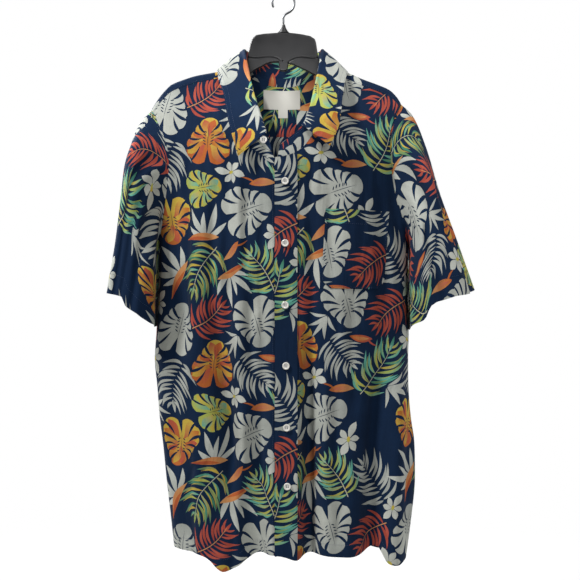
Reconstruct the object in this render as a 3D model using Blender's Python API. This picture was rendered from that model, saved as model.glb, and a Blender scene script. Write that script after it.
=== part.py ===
"""Short-sleeved button-front shirt with a print, hanging on a moulded hanger with a wire hook.

Frame: origin inside the top of the hook, +Z up, -Y the front of the shirt, +X the
wearer's left. Sizes below are in millimetres; meshes are made in metres.
"""
import bpy
import math
import numpy as np
from mathutils import Vector
from mathutils.geometry import delaunay_2d_cdt

# ---------------------------------------------------------------- sizes (mm)
WALL = 1.1            # cloth wall
GAP = 0.3             # clear space between two layers or at a seam
LAP = WALL + GAP      # one layer further out
SECTION_POWER = 2.3   # superellipse power of the body's level sections
ROW_STEP = 2.0        # spacing of the level sections
RING_STEPS = 480      # points round one level section
GRID_ACROSS = 11.0    # mesh spacing across a panel
GRID_DOWN = 40.0      # mesh spacing down a panel
EDGE_STEP = 13.0      # mesh spacing along a panel's edge

BAND_LEFT = -13.4     # x of the front band's free edge
BAND_RIGHT = 21.9     # x of the front band's sewn edge
YOKE_BACK_Z = -228.0  # level of the yoke seam on the back
YOKE_ROWS = (-100.0, -82.0, -66.0, -50.0, -36.0, -25.0, -16.0, -9.0, -4.0, 0.0, 4.0, 9.0)
YOKE_DROP = 12.0      # the yoke's front seam lies this far below the shoulder ridge
HEM_TOP = -880.0

BUTTON_D = 11.4
BUTTON_T = 2.4
BUTTON_Z = (-308.9, -404.3, -499.6, -593.4, -688.8, -779.5)
BUTTON_X = (2.8, 2.8, 2.9, 4.2, 5.2, 6.2)

POCKET = ((65.5, -350.5), (166.0, -353.5), (158.5, -463.0), (146.0, -475.5),
          (72.0, -473.5), (58.8, -461.0))

# level sections: z, half width left, half width right, depth front, depth back,
# extra fullness in front of the collar, extra fullness behind it
SECTION = (
    (-119.0, 56.0, 56.0, 6.0, 6.0, 0.0, 0.0),
    (-123.0, 78.0, 81.0, 8.0, 7.5, 0.0, 8.0),
    (-127.0, 99.0, 98.6, 9.0, 8.3, 5.0, 18.0),
    (-130.0, 117.0, 107.0, 10.0, 8.8, 9.5, 25.0),
    (-133.5, 138.0, 114.5, 10.7, 9.2, 13.5, 30.5),
    (-139.0, 158.5, 127.0, 11.5, 9.7, 19.0, 34.0),
    (-147.0, 178.7, 149.0, 13.0, 10.5, 26.0, 35.0),
    (-155.0, 188.0, 168.0, 15.0, 12.0, 31.0, 33.5),
    (-165.0, 196.5, 179.5, 18.0, 14.0, 35.0, 30.5),
    (-176.0, 204.0, 187.0, 23.5, 17.0, 34.0, 27.5),
    (-186.0, 210.0, 191.0, 28.5, 21.0, 32.5, 24.5),
    (-200.0, 213.0, 193.5, 35.0, 26.0, 30.5, 21.0),
    (-225.0, 212.5, 195.3, 44.0, 32.0, 26.0, 16.0),
    (-250.0, 211.0, 196.3, 50.0, 37.0, 20.0, 12.0),
    (-300.0, 207.5, 197.4, 57.0, 43.0, 11.0, 7.0),
    (-350.0, 203.5, 198.6, 60.5, 46.0, 6.0, 4.0),
    (-412.0, 199.0, 199.6, 63.0, 49.0, 4.0, 2.0),
    (-480.0, 200.5, 199.0, 64.0, 50.0, 2.0, 1.0),
    (-545.0, 203.5, 198.5, 63.5, 51.0, 1.0, 0.0),
    (-585.0, 206.0, 197.3, 63.0, 51.5, 0.0, 0.0),
    (-630.0, 202.0, 198.5, 62.5, 52.0, 0.0, 0.0),
    (-680.0, 198.0, 204.0, 62.0, 52.0, 0.0, 0.0),
    (-720.0, 193.5, 210.0, 61.5, 52.0, 0.0, 0.0),
    (-775.0, 188.5, 212.0, 61.0, 52.0, 0.0, 0.0),
    (-840.0, 181.5, 206.5, 60.0, 52.0, 0.0, 0.0),
    (-920.0, 173.0, 196.0, 59.0, 52.0, 0.0, 0.0),
)

# hanging folds: side (F front, B back), x and z at the top, middle and foot of the
# fold's line, height (out is +), half width at the top, half width at the foot
FOLDS = (
    ("F", -170.0, -215.0, -173.0, -300.0, -181.0, -400.0, -7.0, 12.0, 12.0),
    ("F", -84.0, -225.0, -86.0, -400.0, -90.0, -560.0, -5.0, 8.0, 10.0),
    ("F", -68.0, -215.0, -70.0, -390.0, -66.0, -600.0, 6.0, 10.0, 13.0),
    ("F", -133.0, -330.0, -134.0, -460.0, -138.0, -600.0, 7.0, 14.0, 18.0),
    ("F", -168.0, -430.0, -170.0, -540.0, -173.0, -760.0, -6.0, 12.0, 14.0),
    ("F", -106.0, -470.0, -92.0, -648.0, -40.0, -893.0, -14.0, 11.0, 20.0),
    ("F", -137.0, -640.0, -134.0, -760.0, -120.0, -900.0, 9.0, 16.0, 22.0),
    ("F", -60.0, -610.0, -70.0, -760.0, -92.0, -905.0, 9.0, 12.0, 17.0),
    ("F", -31.0, -470.0, -30.0, -560.0, -27.0, -640.0, -3.0, 7.0, 9.0),
    ("F", 43.0, -262.0, 42.0, -400.0, 41.0, -520.0, -3.5, 8.0, 10.0),
    ("F", 38.0, -520.0, 40.0, -690.0, 42.0, -893.0, -13.0, 11.0, 15.0),
    ("F", 68.0, -560.0, 66.0, -720.0, 72.0, -893.0, 7.0, 12.0, 16.0),
    ("F", 104.0, -250.0, 100.0, -420.0, 104.0, -640.0, 4.0, 16.0, 20.0),
    ("F", 174.0, -235.0, 176.0, -320.0, 186.0, -400.0, -7.0, 11.0, 11.0),
    ("F", 150.0, -560.0, 144.0, -720.0, 140.0, -893.0, -11.0, 12.0, 16.0),
    ("F", 176.0, -560.0, 177.0, -720.0, 172.0, -893.0, 13.0, 11.0, 15.0),
    ("F", 102.0, -640.0, 104.0, -780.0, 102.0, -893.0, 5.0, 12.0, 18.0),
    ("B", -168.0, -260.0, -172.0, -330.0, -182.0, -405.0, -6.0, 12.0, 12.0),
    ("B", 166.0, -262.0, 172.0, -340.0, 184.0, -405.0, -6.0, 12.0, 12.0),
    ("B", -134.0, -300.0, -138.0, -560.0, -128.0, -893.0, 8.0, 13.0, 19.0),
    ("B", -98.0, -360.0, -102.0, -620.0, -92.0, -893.0, -9.0, 12.0, 17.0),
    ("B", -58.0, -250.0, -62.0, -540.0, -60.0, -893.0, 8.0, 12.0, 18.0),
    ("B", -14.0, -330.0, -18.0, -600.0, -12.0, -893.0, -8.0, 14.0, 20.0),
    ("B", 28.0, -270.0, 24.0, -560.0, 30.0, -893.0, 9.0, 13.0, 16.0),
    ("B", 64.0, -420.0, 62.0, -640.0, 70.0, -893.0, -10.0, 11.0, 17.0),
    ("B", 102.0, -280.0, 98.0, -560.0, 108.0, -893.0, 9.0, 12.0, 18.0),
    ("B", 142.0, -440.0, 140.0, -660.0, 150.0, -893.0, -9.0, 12.0, 16.0),
    ("B", 174.0, -560.0, 178.0, -720.0, 176.0, -893.0, 8.0, 12.0, 14.0),
    ("B", -170.0, -600.0, -168.0, -740.0, -160.0, -893.0, -6.0, 12.0, 14.0),
)

# hem line of the fronts and of the back: x, z
HEM_FRONT = ((-215.0, -882.0), (-168.0, -885.0), (-145.0, -887.0), (-122.0, -892.0),
             (-106.0, -907.0), (-92.0, -913.5), (-73.0, -907.0), (-56.0, -895.0),
             (-38.0, -889.0), (-8.0, -889.0), (4.0, -890.0), (22.0, -893.5),
             (32.0, -889.5), (70.0, -888.0), (104.0, -889.5), (126.0, -883.5),
             (142.0, -879.0), (151.0, -887.0), (160.0, -901.0), (180.0, -904.0),
             (192.0, -902.0), (225.0, -900.0))
HEM_BACK = ((-215.0, -882.0), (-168.0, -885.0), (-120.0, -890.0), (-60.0, -886.0),
            (0.0, -889.0), (60.0, -885.0), (120.0, -891.0), (170.0, -898.0),
            (192.0, -902.0), (225.0, -900.0))

# armhole seam: x, z from the shoulder down the front, and down the back
ARMHOLE = {
    -1: {"F": ((-210.0, -186.0), (-205.5, -196.5), (-197.0, -216.0), (-187.0, -238.0),
               (-182.5, -257.0), (-181.0, -280.0), (-183.0, -304.5), (-186.5, -335.0),
               (-191.0, -365.0), (-195.4, -388.0), (-198.2, -401.0), (-199.2, -409.0)),
         "B": ((-210.0, -186.0), (-204.5, -198.0), (-194.0, -216.0), (-183.0, -238.0),
               (-178.0, -257.0), (-177.0, -280.0), (-179.5, -304.5), (-184.0, -335.0),
               (-189.5, -365.0), (-195.0, -388.0), (-198.2, -401.0), (-199.2, -409.0))},
    1: {"F": ((187.0, -176.0), (184.5, -187.0), (178.0, -200.0), (171.5, -216.0),
              (168.5, -236.0), (168.6, -257.0), (170.0, -280.0), (173.5, -308.0),
              (181.0, -344.0), (188.0, -370.0), (194.0, -392.0), (198.3, -405.0),
              (199.6, -412.0)),
        "B": ((187.0, -176.0), (183.0, -187.0), (175.0, -200.0), (168.0, -216.0),
              (165.0, -236.0), (165.5, -257.0), (168.0, -280.0), (172.5, -308.0),
              (180.0, -344.0), (187.5, -370.0), (193.6, -392.0), (198.3, -405.0),
              (199.6, -412.0))},
}

# neck seam: x, z on the front from the shoulder to the centre, and round the back
NECK_FRONT = {
    -1: ((-69.5, -123.0), (-68.8, -145.0), (-65.0, -166.0), (-57.5, -192.0), (-50.5, -215.0),
         (-44.0, -235.0), (-36.5, -250.0), (-28.0, -258.5), (-18.5, -263.0)),
    1: ((69.5, -122.8), (68.8, -145.0), (66.0, -166.0), (60.0, -192.0), (53.0, -218.0),
        (43.0, -240.0), (30.0, -257.0), (15.0, -266.5), (0.0, -270.8), (-12.6, -272.0)),
}
NECK_BACK = ((-69.5, -123.0), (-58.0, -130.5), (-38.0, -138.5), (-18.0, -142.6), (0.0, -143.7),
             (18.0, -142.6), (38.0, -138.5), (58.0, -130.5), (69.5, -122.8))

# free centre edge of the right front, from the neck seam down: x, z
FREE_EDGE = ((-18.5, -263.0), (-11.0, -278.0), (-4.0, -289.0), (6.0, -303.0),
             (13.0, -322.0), (15.5, -345.0), (16.0, -380.0), (16.0, -889.0))

# collar roll line (top edge of the stand) from the right front's end round the back:
# x, y, z and the collar leaf's outer edge belonging to it
COLLAR = (
    # roll x, y, z,            leaf edge x, y, z,          share of the neck seam
    (-27.0, -68.0, -236.0, -68.0, -74.0, -272.5, 0.045),
    (-31.5, -67.0, -222.0, -74.0, -71.0, -251.0, 0.085),
    (-37.5, -63.5, -203.0, -80.5, -66.0, -228.0, 0.125),
    (-43.0, -57.0, -184.0, -86.5, -59.0, -205.0, 0.165),
    (-48.5, -48.0, -164.0, -92.0, -48.0, -175.0, 0.207),
    (-57.0, -26.0, -124.0, -103.0, -23.0, -141.0, 0.268),
    (-61.5, -5.0, -95.0, -107.0, 1.0, -126.0, 0.308),
    (-57.5, 20.0, -92.0, -98.0, 36.0, -135.0, 0.345),
    (-34.0, 39.5, -98.5, -56.0, 55.0, -150.0, 0.402),
    (0.0, 46.0, -102.5, 0.0, 61.0, -156.0, 0.470),
    (34.0, 39.5, -98.5, 56.0, 55.0, -150.0, 0.538),
    (57.5, 20.0, -92.0, 97.0, 36.0, -135.0, 0.595),
    (61.0, -5.0, -95.0, 103.5, 1.0, -127.0, 0.633),
    (56.5, -26.0, -124.0, 98.5, -23.0, -141.0, 0.674),
    (49.5, -45.0, -162.0, 92.0, -46.0, -174.0, 0.735),
    (43.5, -57.0, -190.0, 88.0, -59.0, -203.0, 0.790),
    (37.5, -64.5, -211.0, 83.0, -67.0, -229.0, 0.838),
    (30.0, -68.5, -225.0, 70.0, -75.0, -257.5, 0.876),
    (20.0, -70.5, -233.5, 0.0, 0.0, 0.0, 0.905),
    (8.0, -71.5, -243.0, 0.0, 0.0, 0.0, 0.940),
    (-5.5, -72.0, -254.5, 0.0, 0.0, 0.0, 0.985),
)
LEAF_ROWS = (0, 17)     # the leaf runs between these rows of COLLAR
ROLL_R = 2.8            # outer radius where the leaf turns over the stand
LEAF_BULGE = 1.5

# sleeves: share of the length, outer x, z, inner x, z, depth front, depth back,
# how far the deepest points lie from the outer line towards the inner one
SLEEVE = {
    -1: ((0.00, -210.0, -186.0, -199.2, -409.0, 44.0, 36.0, 0.50),
         (0.16, -233.0, -208.0, -202.3, -430.0, 56.0, 46.0, 0.50),
         (0.34, -247.0, -251.0, -203.8, -454.0, 66.0, 56.0, 0.48),
         (0.55, -254.5, -318.0, -204.6, -481.0, 72.0, 62.0, 0.46),
         (0.78, -263.5, -398.0, -205.3, -509.0, 76.0, 66.0, 0.44),
         (1.00, -277.0, -483.0, -206.0, -535.0, 78.0, 68.0, 0.44)),
    1: ((0.00, 187.0, -176.0, 199.6, -412.0, 44.0, 36.0, 0.50),
        (0.16, 211.0, -200.0, 201.8, -434.0, 56.0, 46.0, 0.50),
        (0.34, 229.5, -249.0, 202.5, -458.0, 66.0, 56.0, 0.48),
        (0.55, 248.5, -320.0, 202.6, -485.0, 72.0, 62.0, 0.46),
        (0.78, 273.5, -390.0, 202.4, -512.0, 76.0, 66.0, 0.44),
        (1.00, 304.0, -476.0, 202.0, -540.0, 78.0, 68.0, 0.44)),
}
# how far the sleeve hem is drawn up: share round the sleeve, rise on the right
# sleeve, rise on the left sleeve
HEM_RISE = ((0.00, 0.0, 0.0), (0.08, 5.0, 5.0), (0.15, 11.0, 10.0), (0.20, 16.0, 15.0),
            (0.225, 16.0, 17.5), (0.25, 6.0, 20.0), (0.30, 7.0, 24.0), (0.325, 6.0, 20.0),
            (0.35, 5.0, 3.0), (0.42, 1.0, 0.0), (0.50, 0.0, 0.0))
SLEEVE_HUG = 7.0      # the sleeve reaches this far in front of and behind the body's side
# sleeve folds: sleeve, share round the sleeve from the shoulder line (front +) at
# the armhole and at the hem, height, half width as a share, start and full share
SLEEVE_FOLDS = (
    (-1, 0.17, 0.15, 6.0, 0.030, 0.10, 0.45),
    (-1, 0.25, 0.24, -6.0, 0.026, 0.08, 0.40),
    (-1, 0.33, 0.33, 5.0, 0.030, 0.15, 0.60),
    (-1, -0.16, -0.18, 6.0, 0.030, 0.15, 0.60),
    (-1, -0.27, -0.28, -6.0, 0.034, 0.10, 0.50),
    (1, 0.16, 0.19, 6.0, 0.030, 0.10, 0.45),
    (1, 0.24, 0.27, -6.0, 0.028, 0.08, 0.40),
    (1, 0.10, 0.10, -4.0, 0.026, 0.20, 0.60),
    (1, 0.34, 0.35, 4.0, 0.030, 0.15, 0.60),
    (1, -0.15, -0.17, 6.0, 0.032, 0.15, 0.60),
    (1, -0.26, -0.28, -6.0, 0.034, 0.10, 0.50),
)

# hanger bar: x, top z, bottom z, half thickness
HANGER = (
    (-184.0, -166.5, -178.0, 3.6), (-180.0, -159.0, -178.5, 4.6),
    (-168.0, -152.0, -173.0, 5.0), (-150.0, -145.0, -166.0, 5.0),
    (-120.0, -140.5, -161.0, 5.0), (-90.0, -135.0, -153.0, 5.0),
    (-68.0, -128.5, -144.0, 5.0), (-59.5, -125.0, -139.0, 5.0),
    (-58.0, -110.0, -136.5, 5.0), (-55.5, -94.0, -133.0, 5.0),
    (-51.0, -79.0, -129.0, 4.8), (-45.0, -70.5, -124.5, 4.6),
    (-36.0, -67.0, -119.0, 4.6), (-22.0, -65.5, -112.5, 4.6),
    (-8.0, -64.6, -111.5, 4.6), (-6.2, -64.5, -124.5, 4.6),
    (0.0, -64.3, -126.0, 4.6), (6.2, -64.5, -124.5, 4.6), (8.0, -64.6, -113.5, 4.6),
    (22.0, -66.0, -118.5, 4.6), (36.0, -68.5, -125.0, 4.6),
    (45.0, -72.5, -130.0, 4.6), (51.0, -81.0, -133.0, 4.8),
    (54.5, -96.0, -135.0, 5.0), (57.0, -110.0, -136.5, 5.0),
    (59.0, -125.0, -139.0, 5.0), (68.0, -128.5, -144.0, 5.0),
    (90.0, -136.5, -155.0, 5.0), (120.0, -147.5, -168.0, 5.0),
    (150.0, -158.5, -179.0, 5.0), (165.0, -167.0, -184.0, 5.0),
    (174.0, -174.0, -186.0, 4.6), (178.0, -178.5, -185.5, 3.6),
)
HOOK_R = 1.7                      # radius of the hook's wire
HOOK_TURN = 17.7                  # radius of the crook's middle line
HOOK_PATH = ((0.0, -50.0), (0.0, -44.0), (0.3, -38.5), (3.2, -34.6), (8.4, -32.4))


# ---------------------------------------------------------------- small helpers
def spline(xs, ys):
    """Smooth curve through the points, xs rising; gives a function of x."""
    xs = np.asarray(xs, float)
    ys = np.asarray(ys, float)
    step = np.diff(xs)
    slope = np.diff(ys) / step
    tangent = np.zeros_like(ys)
    tangent[0] = slope[0]
    tangent[-1] = slope[-1]
    same = slope[:-1] * slope[1:] > 0
    mean = (slope[:-1] * step[1:] + slope[1:] * step[:-1]) / (step[:-1] + step[1:])
    limit = 3.0 * np.minimum(np.abs(slope[:-1]), np.abs(slope[1:]))
    tangent[1:-1] = np.where(same, np.sign(mean) * np.minimum(np.abs(mean), limit), 0.0)

    def value(x):
        x = np.clip(np.asarray(x, float), xs[0], xs[-1])
        i = np.clip(np.searchsorted(xs, x, side="right") - 1, 0, len(xs) - 2)
        h = step[i]
        t = (x - xs[i]) / h
        a = (1 + 2 * t) * (1 - t) ** 2
        b = t * (1 - t) ** 2
        c = t * t * (3 - 2 * t)
        d = t * t * (t - 1)
        return a * ys[i] + b * h * tangent[i] + c * ys[i + 1] + d * h * tangent[i + 1]
    return value


def curve(points, count=None, step=None, dense=24):
    """Even points along a smooth curve through the given ones."""
    p = np.asarray(points, float)
    ext = np.vstack([2 * p[0] - p[1], p, 2 * p[-1] - p[-2]])
    out = []
    for i in range(1, len(ext) - 2):
        p0, p1, p2, p3 = ext[i - 1:i + 3]
        l1 = np.linalg.norm(p2 - p1)
        m1 = (p2 - p0) / (np.linalg.norm(p1 - p0) + l1) * l1
        m2 = (p3 - p1) / (np.linalg.norm(p3 - p2) + l1) * l1
        t = np.linspace(0, 1, dense, endpoint=False)[:, None]
        out.append((2 * t ** 3 - 3 * t ** 2 + 1) * p1 + (t ** 3 - 2 * t ** 2 + t) * m1
                   + (3 * t ** 2 - 2 * t ** 3) * p2 + (t ** 3 - t ** 2) * m2)
    line = np.vstack(out + [p[-1:]])
    return even(line, count, step)


def even(line, count=None, step=None):
    """The same line with evenly spaced points."""
    line = np.asarray(line, float)
    run = np.concatenate([[0], np.cumsum(np.linalg.norm(np.diff(line, axis=0), axis=1))])
    if count is None:
        count = max(1, int(math.ceil(run[-1] / step)))
    at = np.linspace(0, run[-1], count + 1)
    return np.column_stack([np.interp(at, run, line[:, k]) for k in range(line.shape[1])])


def unit(v):
    v = np.asarray(v, float)
    return v / np.maximum(np.linalg.norm(v, axis=-1, keepdims=True), 1e-12)


def ease(t):
    t = np.clip(t, 0.0, 1.0)
    return t * t * (3 - 2 * t)


# ---------------------------------------------------------------- body surface
def section_tables():
    rows = np.array(SECTION)[::-1]
    names = ("left", "right", "front", "back", "full_front", "full_back")
    return {name: spline(rows[:, 0], rows[:, 1 + k]) for k, name in enumerate(names)}


TABLE = section_tables()
Z_ROWS = np.arange(-916.0, -119.0 + 0.01, ROW_STEP)


def ridge_z(x):
    """Level of the shoulder ridge over a distance x from the middle."""
    z = np.linspace(-212.0, -119.0, 800)
    left = TABLE["left"](z)
    right = TABLE["right"](z)
    x = np.asarray(x, float)
    zl = np.interp(-x, left[::-1], z[::-1])
    zr = np.interp(x, right[::-1], z[::-1])
    return np.where(x < 0, zl, zr)


def section_depth(x, z, front):
    """Distance of the plain body surface from the middle plane, before the folds."""
    x = np.asarray(x, float)
    z = np.asarray(z, float)
    half = np.where(x < 0, TABLE["left"](z), TABLE["right"](z))
    rest = np.clip(1 - (np.abs(x) / half) ** SECTION_POWER, 0, 1) ** (1 / SECTION_POWER)
    if front:
        return (TABLE["front"](z) + TABLE["full_front"](z) * np.exp(-(x / 75.0) ** 2)) * rest
    return (TABLE["back"](z) + TABLE["full_back"](z) * np.exp(-(x / 62.0) ** 2)) * rest


def fold_height(x, z, front):
    """Sum of the folds at (x, z) on one side of the body."""
    total = np.zeros_like(x)
    for side, x0, z0, x1, z1, x2, z2, high, w0, w2 in FOLDS:
        if (side == "F") != front:
            continue
        run = np.clip((z0 - z) / (z0 - z2), 0, 1)
        mid = (z0 - z1) / (z0 - z2)
        line = (x0 * (run - mid) * (run - 1) / mid + x1 * run * (run - 1) / (mid * (mid - 1))
                + x2 * run * (run - mid) / (1 - mid))
        width = w0 + (w2 - w0) * run
        grow = ease((z0 + 10.0 - z) / 110.0)
        if z2 > HEM_TOP:
            grow = grow * ease((z - z2 + 50.0) / 90.0)
        total = total + high * grow * np.exp(-((x - line) / width) ** 2)
    if front:
        total = total * ease((np.abs(x - 4.2) - 18.5) / 14.0)
    return total


def body_ring():
    """Level sections of the whole body: points and outward normals, rows x steps."""
    angle = np.linspace(-math.pi, math.pi, RING_STEPS + 1)
    s = np.sin(angle)
    c = np.cos(angle)
    sx = np.sign(s) * np.abs(s) ** (2 / SECTION_POWER)
    cy = np.sign(c) * np.abs(c) ** (2 / SECTION_POWER)
    z = Z_ROWS[:, None]
    half = np.where(s < 0, TABLE["left"](z), TABLE["right"](z))
    x = half * sx
    front = TABLE["front"](z) + TABLE["full_front"](z) * np.exp(-(x / 75.0) ** 2)
    back = TABLE["back"](z) + TABLE["full_back"](z) * np.exp(-(x / 62.0) ** 2)
    y = -np.where(c > 0, front, back) * cy
    dx = np.gradient(x, axis=1)
    dy = np.gradient(y, axis=1)
    dx[:, 0] = dx[:, -1] = x[:, 1] - x[:, -2]
    dy[:, 0] = dy[:, -1] = y[:, 1] - y[:, -2]
    size = np.maximum(np.hypot(dx, dy), 1e-9)
    nx = dy / size
    ny = -dx / size
    zz = np.broadcast_to(z, x.shape)
    side = ease(np.abs(cy) / 0.42)
    high = np.where(c > 0, fold_height(x, zz, True), fold_height(x, zz, False)) * side
    x = x + nx * high
    y = y + ny * high
    return np.dstack([x, y, zz])


def surface_normals(grid):
    across = np.gradient(grid, axis=1)
    down = np.gradient(grid, axis=0)
    return unit(np.cross(across, down))


class Chart:
    """Lookup of one side of the body by (run along the level section, z)."""

    def __init__(self, grid, normal, middle):
        step = np.linalg.norm(np.diff(grid[:, :, :2], axis=1), axis=2)
        run = np.concatenate([np.zeros((len(grid), 1)), np.cumsum(step, axis=1)], axis=1)
        self.run = run - run[:, middle:middle + 1]
        self.grid = grid
        self.normal = normal
        self.middle = middle

    def at(self, p, z):
        p = np.asarray(p, float)
        z = np.asarray(z, float)
        row = np.clip((z - Z_ROWS[0]) / ROW_STEP, 0, len(Z_ROWS) - 1.001)
        low = row.astype(int)
        part = (row - low)[:, None]
        pos = np.zeros((len(p), 3))
        nrm = np.zeros((len(p), 3))
        for r in np.unique(low):
            m = low == r
            for k in range(3):
                a = np.interp(p[m], self.run[r], self.grid[r, :, k])
                b = np.interp(p[m], self.run[r + 1], self.grid[r + 1, :, k])
                pos[m, k] = a * (1 - part[m, 0]) + b * part[m, 0]
                a = np.interp(p[m], self.run[r], self.normal[r, :, k])
                b = np.interp(p[m], self.run[r + 1], self.normal[r + 1, :, k])
                nrm[m, k] = a * (1 - part[m, 0]) + b * part[m, 0]
        return pos, unit(nrm)

    def run_at(self, x, z):
        """Run of the points (x, z) on this side."""
        out = np.zeros(len(x))
        quarter = RING_STEPS // 4
        lo, hi = self.middle - quarter, self.middle + quarter + 1
        flip = 1 if self.grid[-1, hi - 1, 0] > self.grid[-1, lo, 0] else -1
        for i, (xi, zi) in enumerate(zip(x, z)):
            row = min(max((zi - Z_ROWS[0]) / ROW_STEP, 0), len(Z_ROWS) - 1.001)
            r = int(row)
            t = row - r
            xs = self.grid[r, lo:hi, 0] * (1 - t) + self.grid[r + 1, lo:hi, 0] * t
            ps = self.run[r, lo:hi] * (1 - t) + self.run[r + 1, lo:hi] * t
            if flip > 0:
                out[i] = np.interp(xi, np.maximum.accumulate(xs), ps)
            else:
                out[i] = np.interp(-xi, np.maximum.accumulate(-xs), ps)
        return out

    def side_run(self, z, sign):
        """Run of the side seam at the levels z; sign +1 for the end with higher runs."""
        quarter = RING_STEPS // 4
        return np.interp(z, Z_ROWS, self.run[:, self.middle + sign * quarter])


def make_charts():
    ring = body_ring()
    wide = np.concatenate([ring[:, :-1], ring], axis=1)
    normal = surface_normals(wide)
    n = RING_STEPS
    front = slice(n // 2 - n // 4 - 30 + 0, n // 2 + n // 4 + 31)
    back = slice(n - n // 4 - 30, n + n // 4 + 31)
    mid = n // 4 + 30
    return (Chart(wide[:, front], normal[:, front], mid),
            Chart(wide[:, back], normal[:, back], mid))


class YokeChart:
    """Lookup of the yoke by (x, run across the ridge: 0 on it, front +, back -)."""

    def __init__(self):
        self.xs = np.arange(-212.0, 194.01, 2.0)
        steps = np.linspace(0, 1, 90)
        grid = []
        for x in self.xs:
            top = float(ridge_z(x))
            down = (top - YOKE_BACK_Z) * (1 - steps) ** 2
            zb = top - down
            yb = section_depth(np.full_like(zb, x), zb, False)
            front = 22.0 * np.linspace(0, 1, 40)[1:] ** 2
            zf = top - front
            yf = -section_depth(np.full_like(zf, x), zf, True)
            grid.append(np.column_stack([np.full(len(zb) + len(zf), x),
                                         np.concatenate([yb, yf]), np.concatenate([zb, zf])]))
        self.grid = np.array(grid)
        seg = np.linalg.norm(np.diff(self.grid, axis=1), axis=2)
        run = np.concatenate([np.zeros((len(grid), 1)), np.cumsum(seg, axis=1)], axis=1)
        self.run = run - run[:, 89:90]
        self.normal = -surface_normals(np.swapaxes(self.grid, 0, 1))
        self.normal = np.swapaxes(self.normal, 0, 1)
        self.ridge = 89

    def at(self, x, w):
        x = np.asarray(x, float)
        w = np.asarray(w, float)
        col = np.clip((x - self.xs[0]) / 2.0, 0, len(self.xs) - 1.001)
        low = col.astype(int)
        part = (col - low)
        pos = np.zeros((len(x), 3))
        nrm = np.zeros((len(x), 3))
        for c in np.unique(low):
            m = low == c
            for k in range(3):
                a = np.interp(w[m], self.run[c], self.grid[c, :, k])
                b = np.interp(w[m], self.run[c + 1], self.grid[c + 1, :, k])
                pos[m, k] = a * (1 - part[m]) + b * part[m]
                a = np.interp(w[m], self.run[c], self.normal[c, :, k])
                b = np.interp(w[m], self.run[c + 1], self.normal[c + 1, :, k])
                nrm[m, k] = a * (1 - part[m]) + b * part[m]
        return pos, unit(nrm)

    def run_at(self, x, z, front):
        """Run of the points (x, z) on the yoke's front or back part."""
        out = np.zeros(len(x))
        for i, (xi, zi) in enumerate(zip(x, z)):
            col = min(max((xi - self.xs[0]) / 2.0, 0), len(self.xs) - 1.001)
            c = int(col)
            t = col - c
            vals = []
            for cc in (c, c + 1):
                zz = self.grid[cc, :, 2]
                rr = self.run[cc]
                if front:
                    vals.append(np.interp(-zi, -zz[self.ridge:], rr[self.ridge:]))
                else:
                    vals.append(np.interp(zi, zz[:self.ridge + 1], rr[:self.ridge + 1]))
            out[i] = vals[0] * (1 - t) + vals[1] * t
        return out


FRONT, BACK = make_charts()
YOKE = YokeChart()


# ---------------------------------------------------------------- seam lines (x, z)
def armhole_line(side, face):
    return curve(ARMHOLE[side][face], step=1.0)


def yoke_cross(side):
    """Where the yoke's front seam and back seam meet the armhole: indices and points."""
    front = armhole_line(side, "F")
    drop = ridge_z(front[:, 0]) - front[:, 1]
    i = int(np.argmax(drop > YOKE_DROP))
    back = armhole_line(side, "B")
    j = int(np.argmax(back[:, 1] < YOKE_BACK_Z))
    return i, j


def armhole_parts(side, step):
    """Armhole points: front piece (top to underarm), yoke piece (front to back), back."""
    front = armhole_line(side, "F")
    back = armhole_line(side, "B")
    i, j = yoke_cross(side)
    part_front = even(front[i:], step=step)
    part_back = even(back[j:], step=step)
    over_front = even(front[:i + 1][::-1], step=step * 0.6)
    over_back = even(back[:j + 1], step=step)
    return part_front, over_front, over_back, part_back


def yoke_front_seam(side, step):
    """The yoke's front seam from the neck to the armhole."""
    neck = curve(NECK_FRONT[side], step=0.5)
    drop = ridge_z(neck[:, 0]) - neck[:, 1]
    k = int(np.argmax(drop > YOKE_DROP))
    arm = armhole_line(side, "F")
    i, _ = yoke_cross(side)
    xs = np.linspace(neck[k, 0], arm[i, 0], 60)
    line = np.column_stack([xs, ridge_z(xs) - YOKE_DROP])
    line[0] = neck[k]
    line[-1] = arm[i]
    return even(line, step=step), neck, k


def hem_line(table, x0, x1, step):
    f = spline([p[0] for p in table], [p[1] for p in table])
    xs = np.linspace(x0, x1, max(2, int(abs(x1 - x0) / step)) + 1)
    return np.column_stack([xs, f(xs)])


def side_x(side, z):
    return -TABLE["left"](z) if side < 0 else TABLE["right"](z)


# ---------------------------------------------------------------- meshes
def new_object(name, verts, faces, material):
    mesh = bpy.data.meshes.new(name)
    mesh.from_pydata([tuple(v) for v in np.asarray(verts) / 1000.0], [], faces)
    mesh.validate()
    mesh.update()
    obj = bpy.data.objects.new(name, mesh)
    bpy.context.scene.collection.objects.link(obj)
    mesh.materials.append(material)
    return obj


def inside(poly, pts):
    x, y = pts[:, 0], pts[:, 1]
    hit = np.zeros(len(pts), bool)
    a = poly
    b = np.roll(poly, -1, axis=0)
    for (x0, y0), (x1, y1) in zip(a, b):
        if y0 == y1:
            continue
        m = (y0 > y) != (y1 > y)
        hit ^= m & (x < (x1 - x0) * (y - y0) / (y1 - y0) + x0)
    return hit


def far_from(poly, pts, dist, squash):
    a = poly * (1, squash)
    b = np.roll(a, -1, axis=0)
    q = pts * (1, squash)
    best = np.full(len(q), 1e9)
    for s, e in zip(a, b):
        d = e - s
        t = np.clip(((q - s) @ d) / max(d @ d, 1e-12), 0, 1)
        best = np.minimum(best, np.linalg.norm(q - (s + t[:, None] * d), axis=1))
    return best > dist


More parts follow.
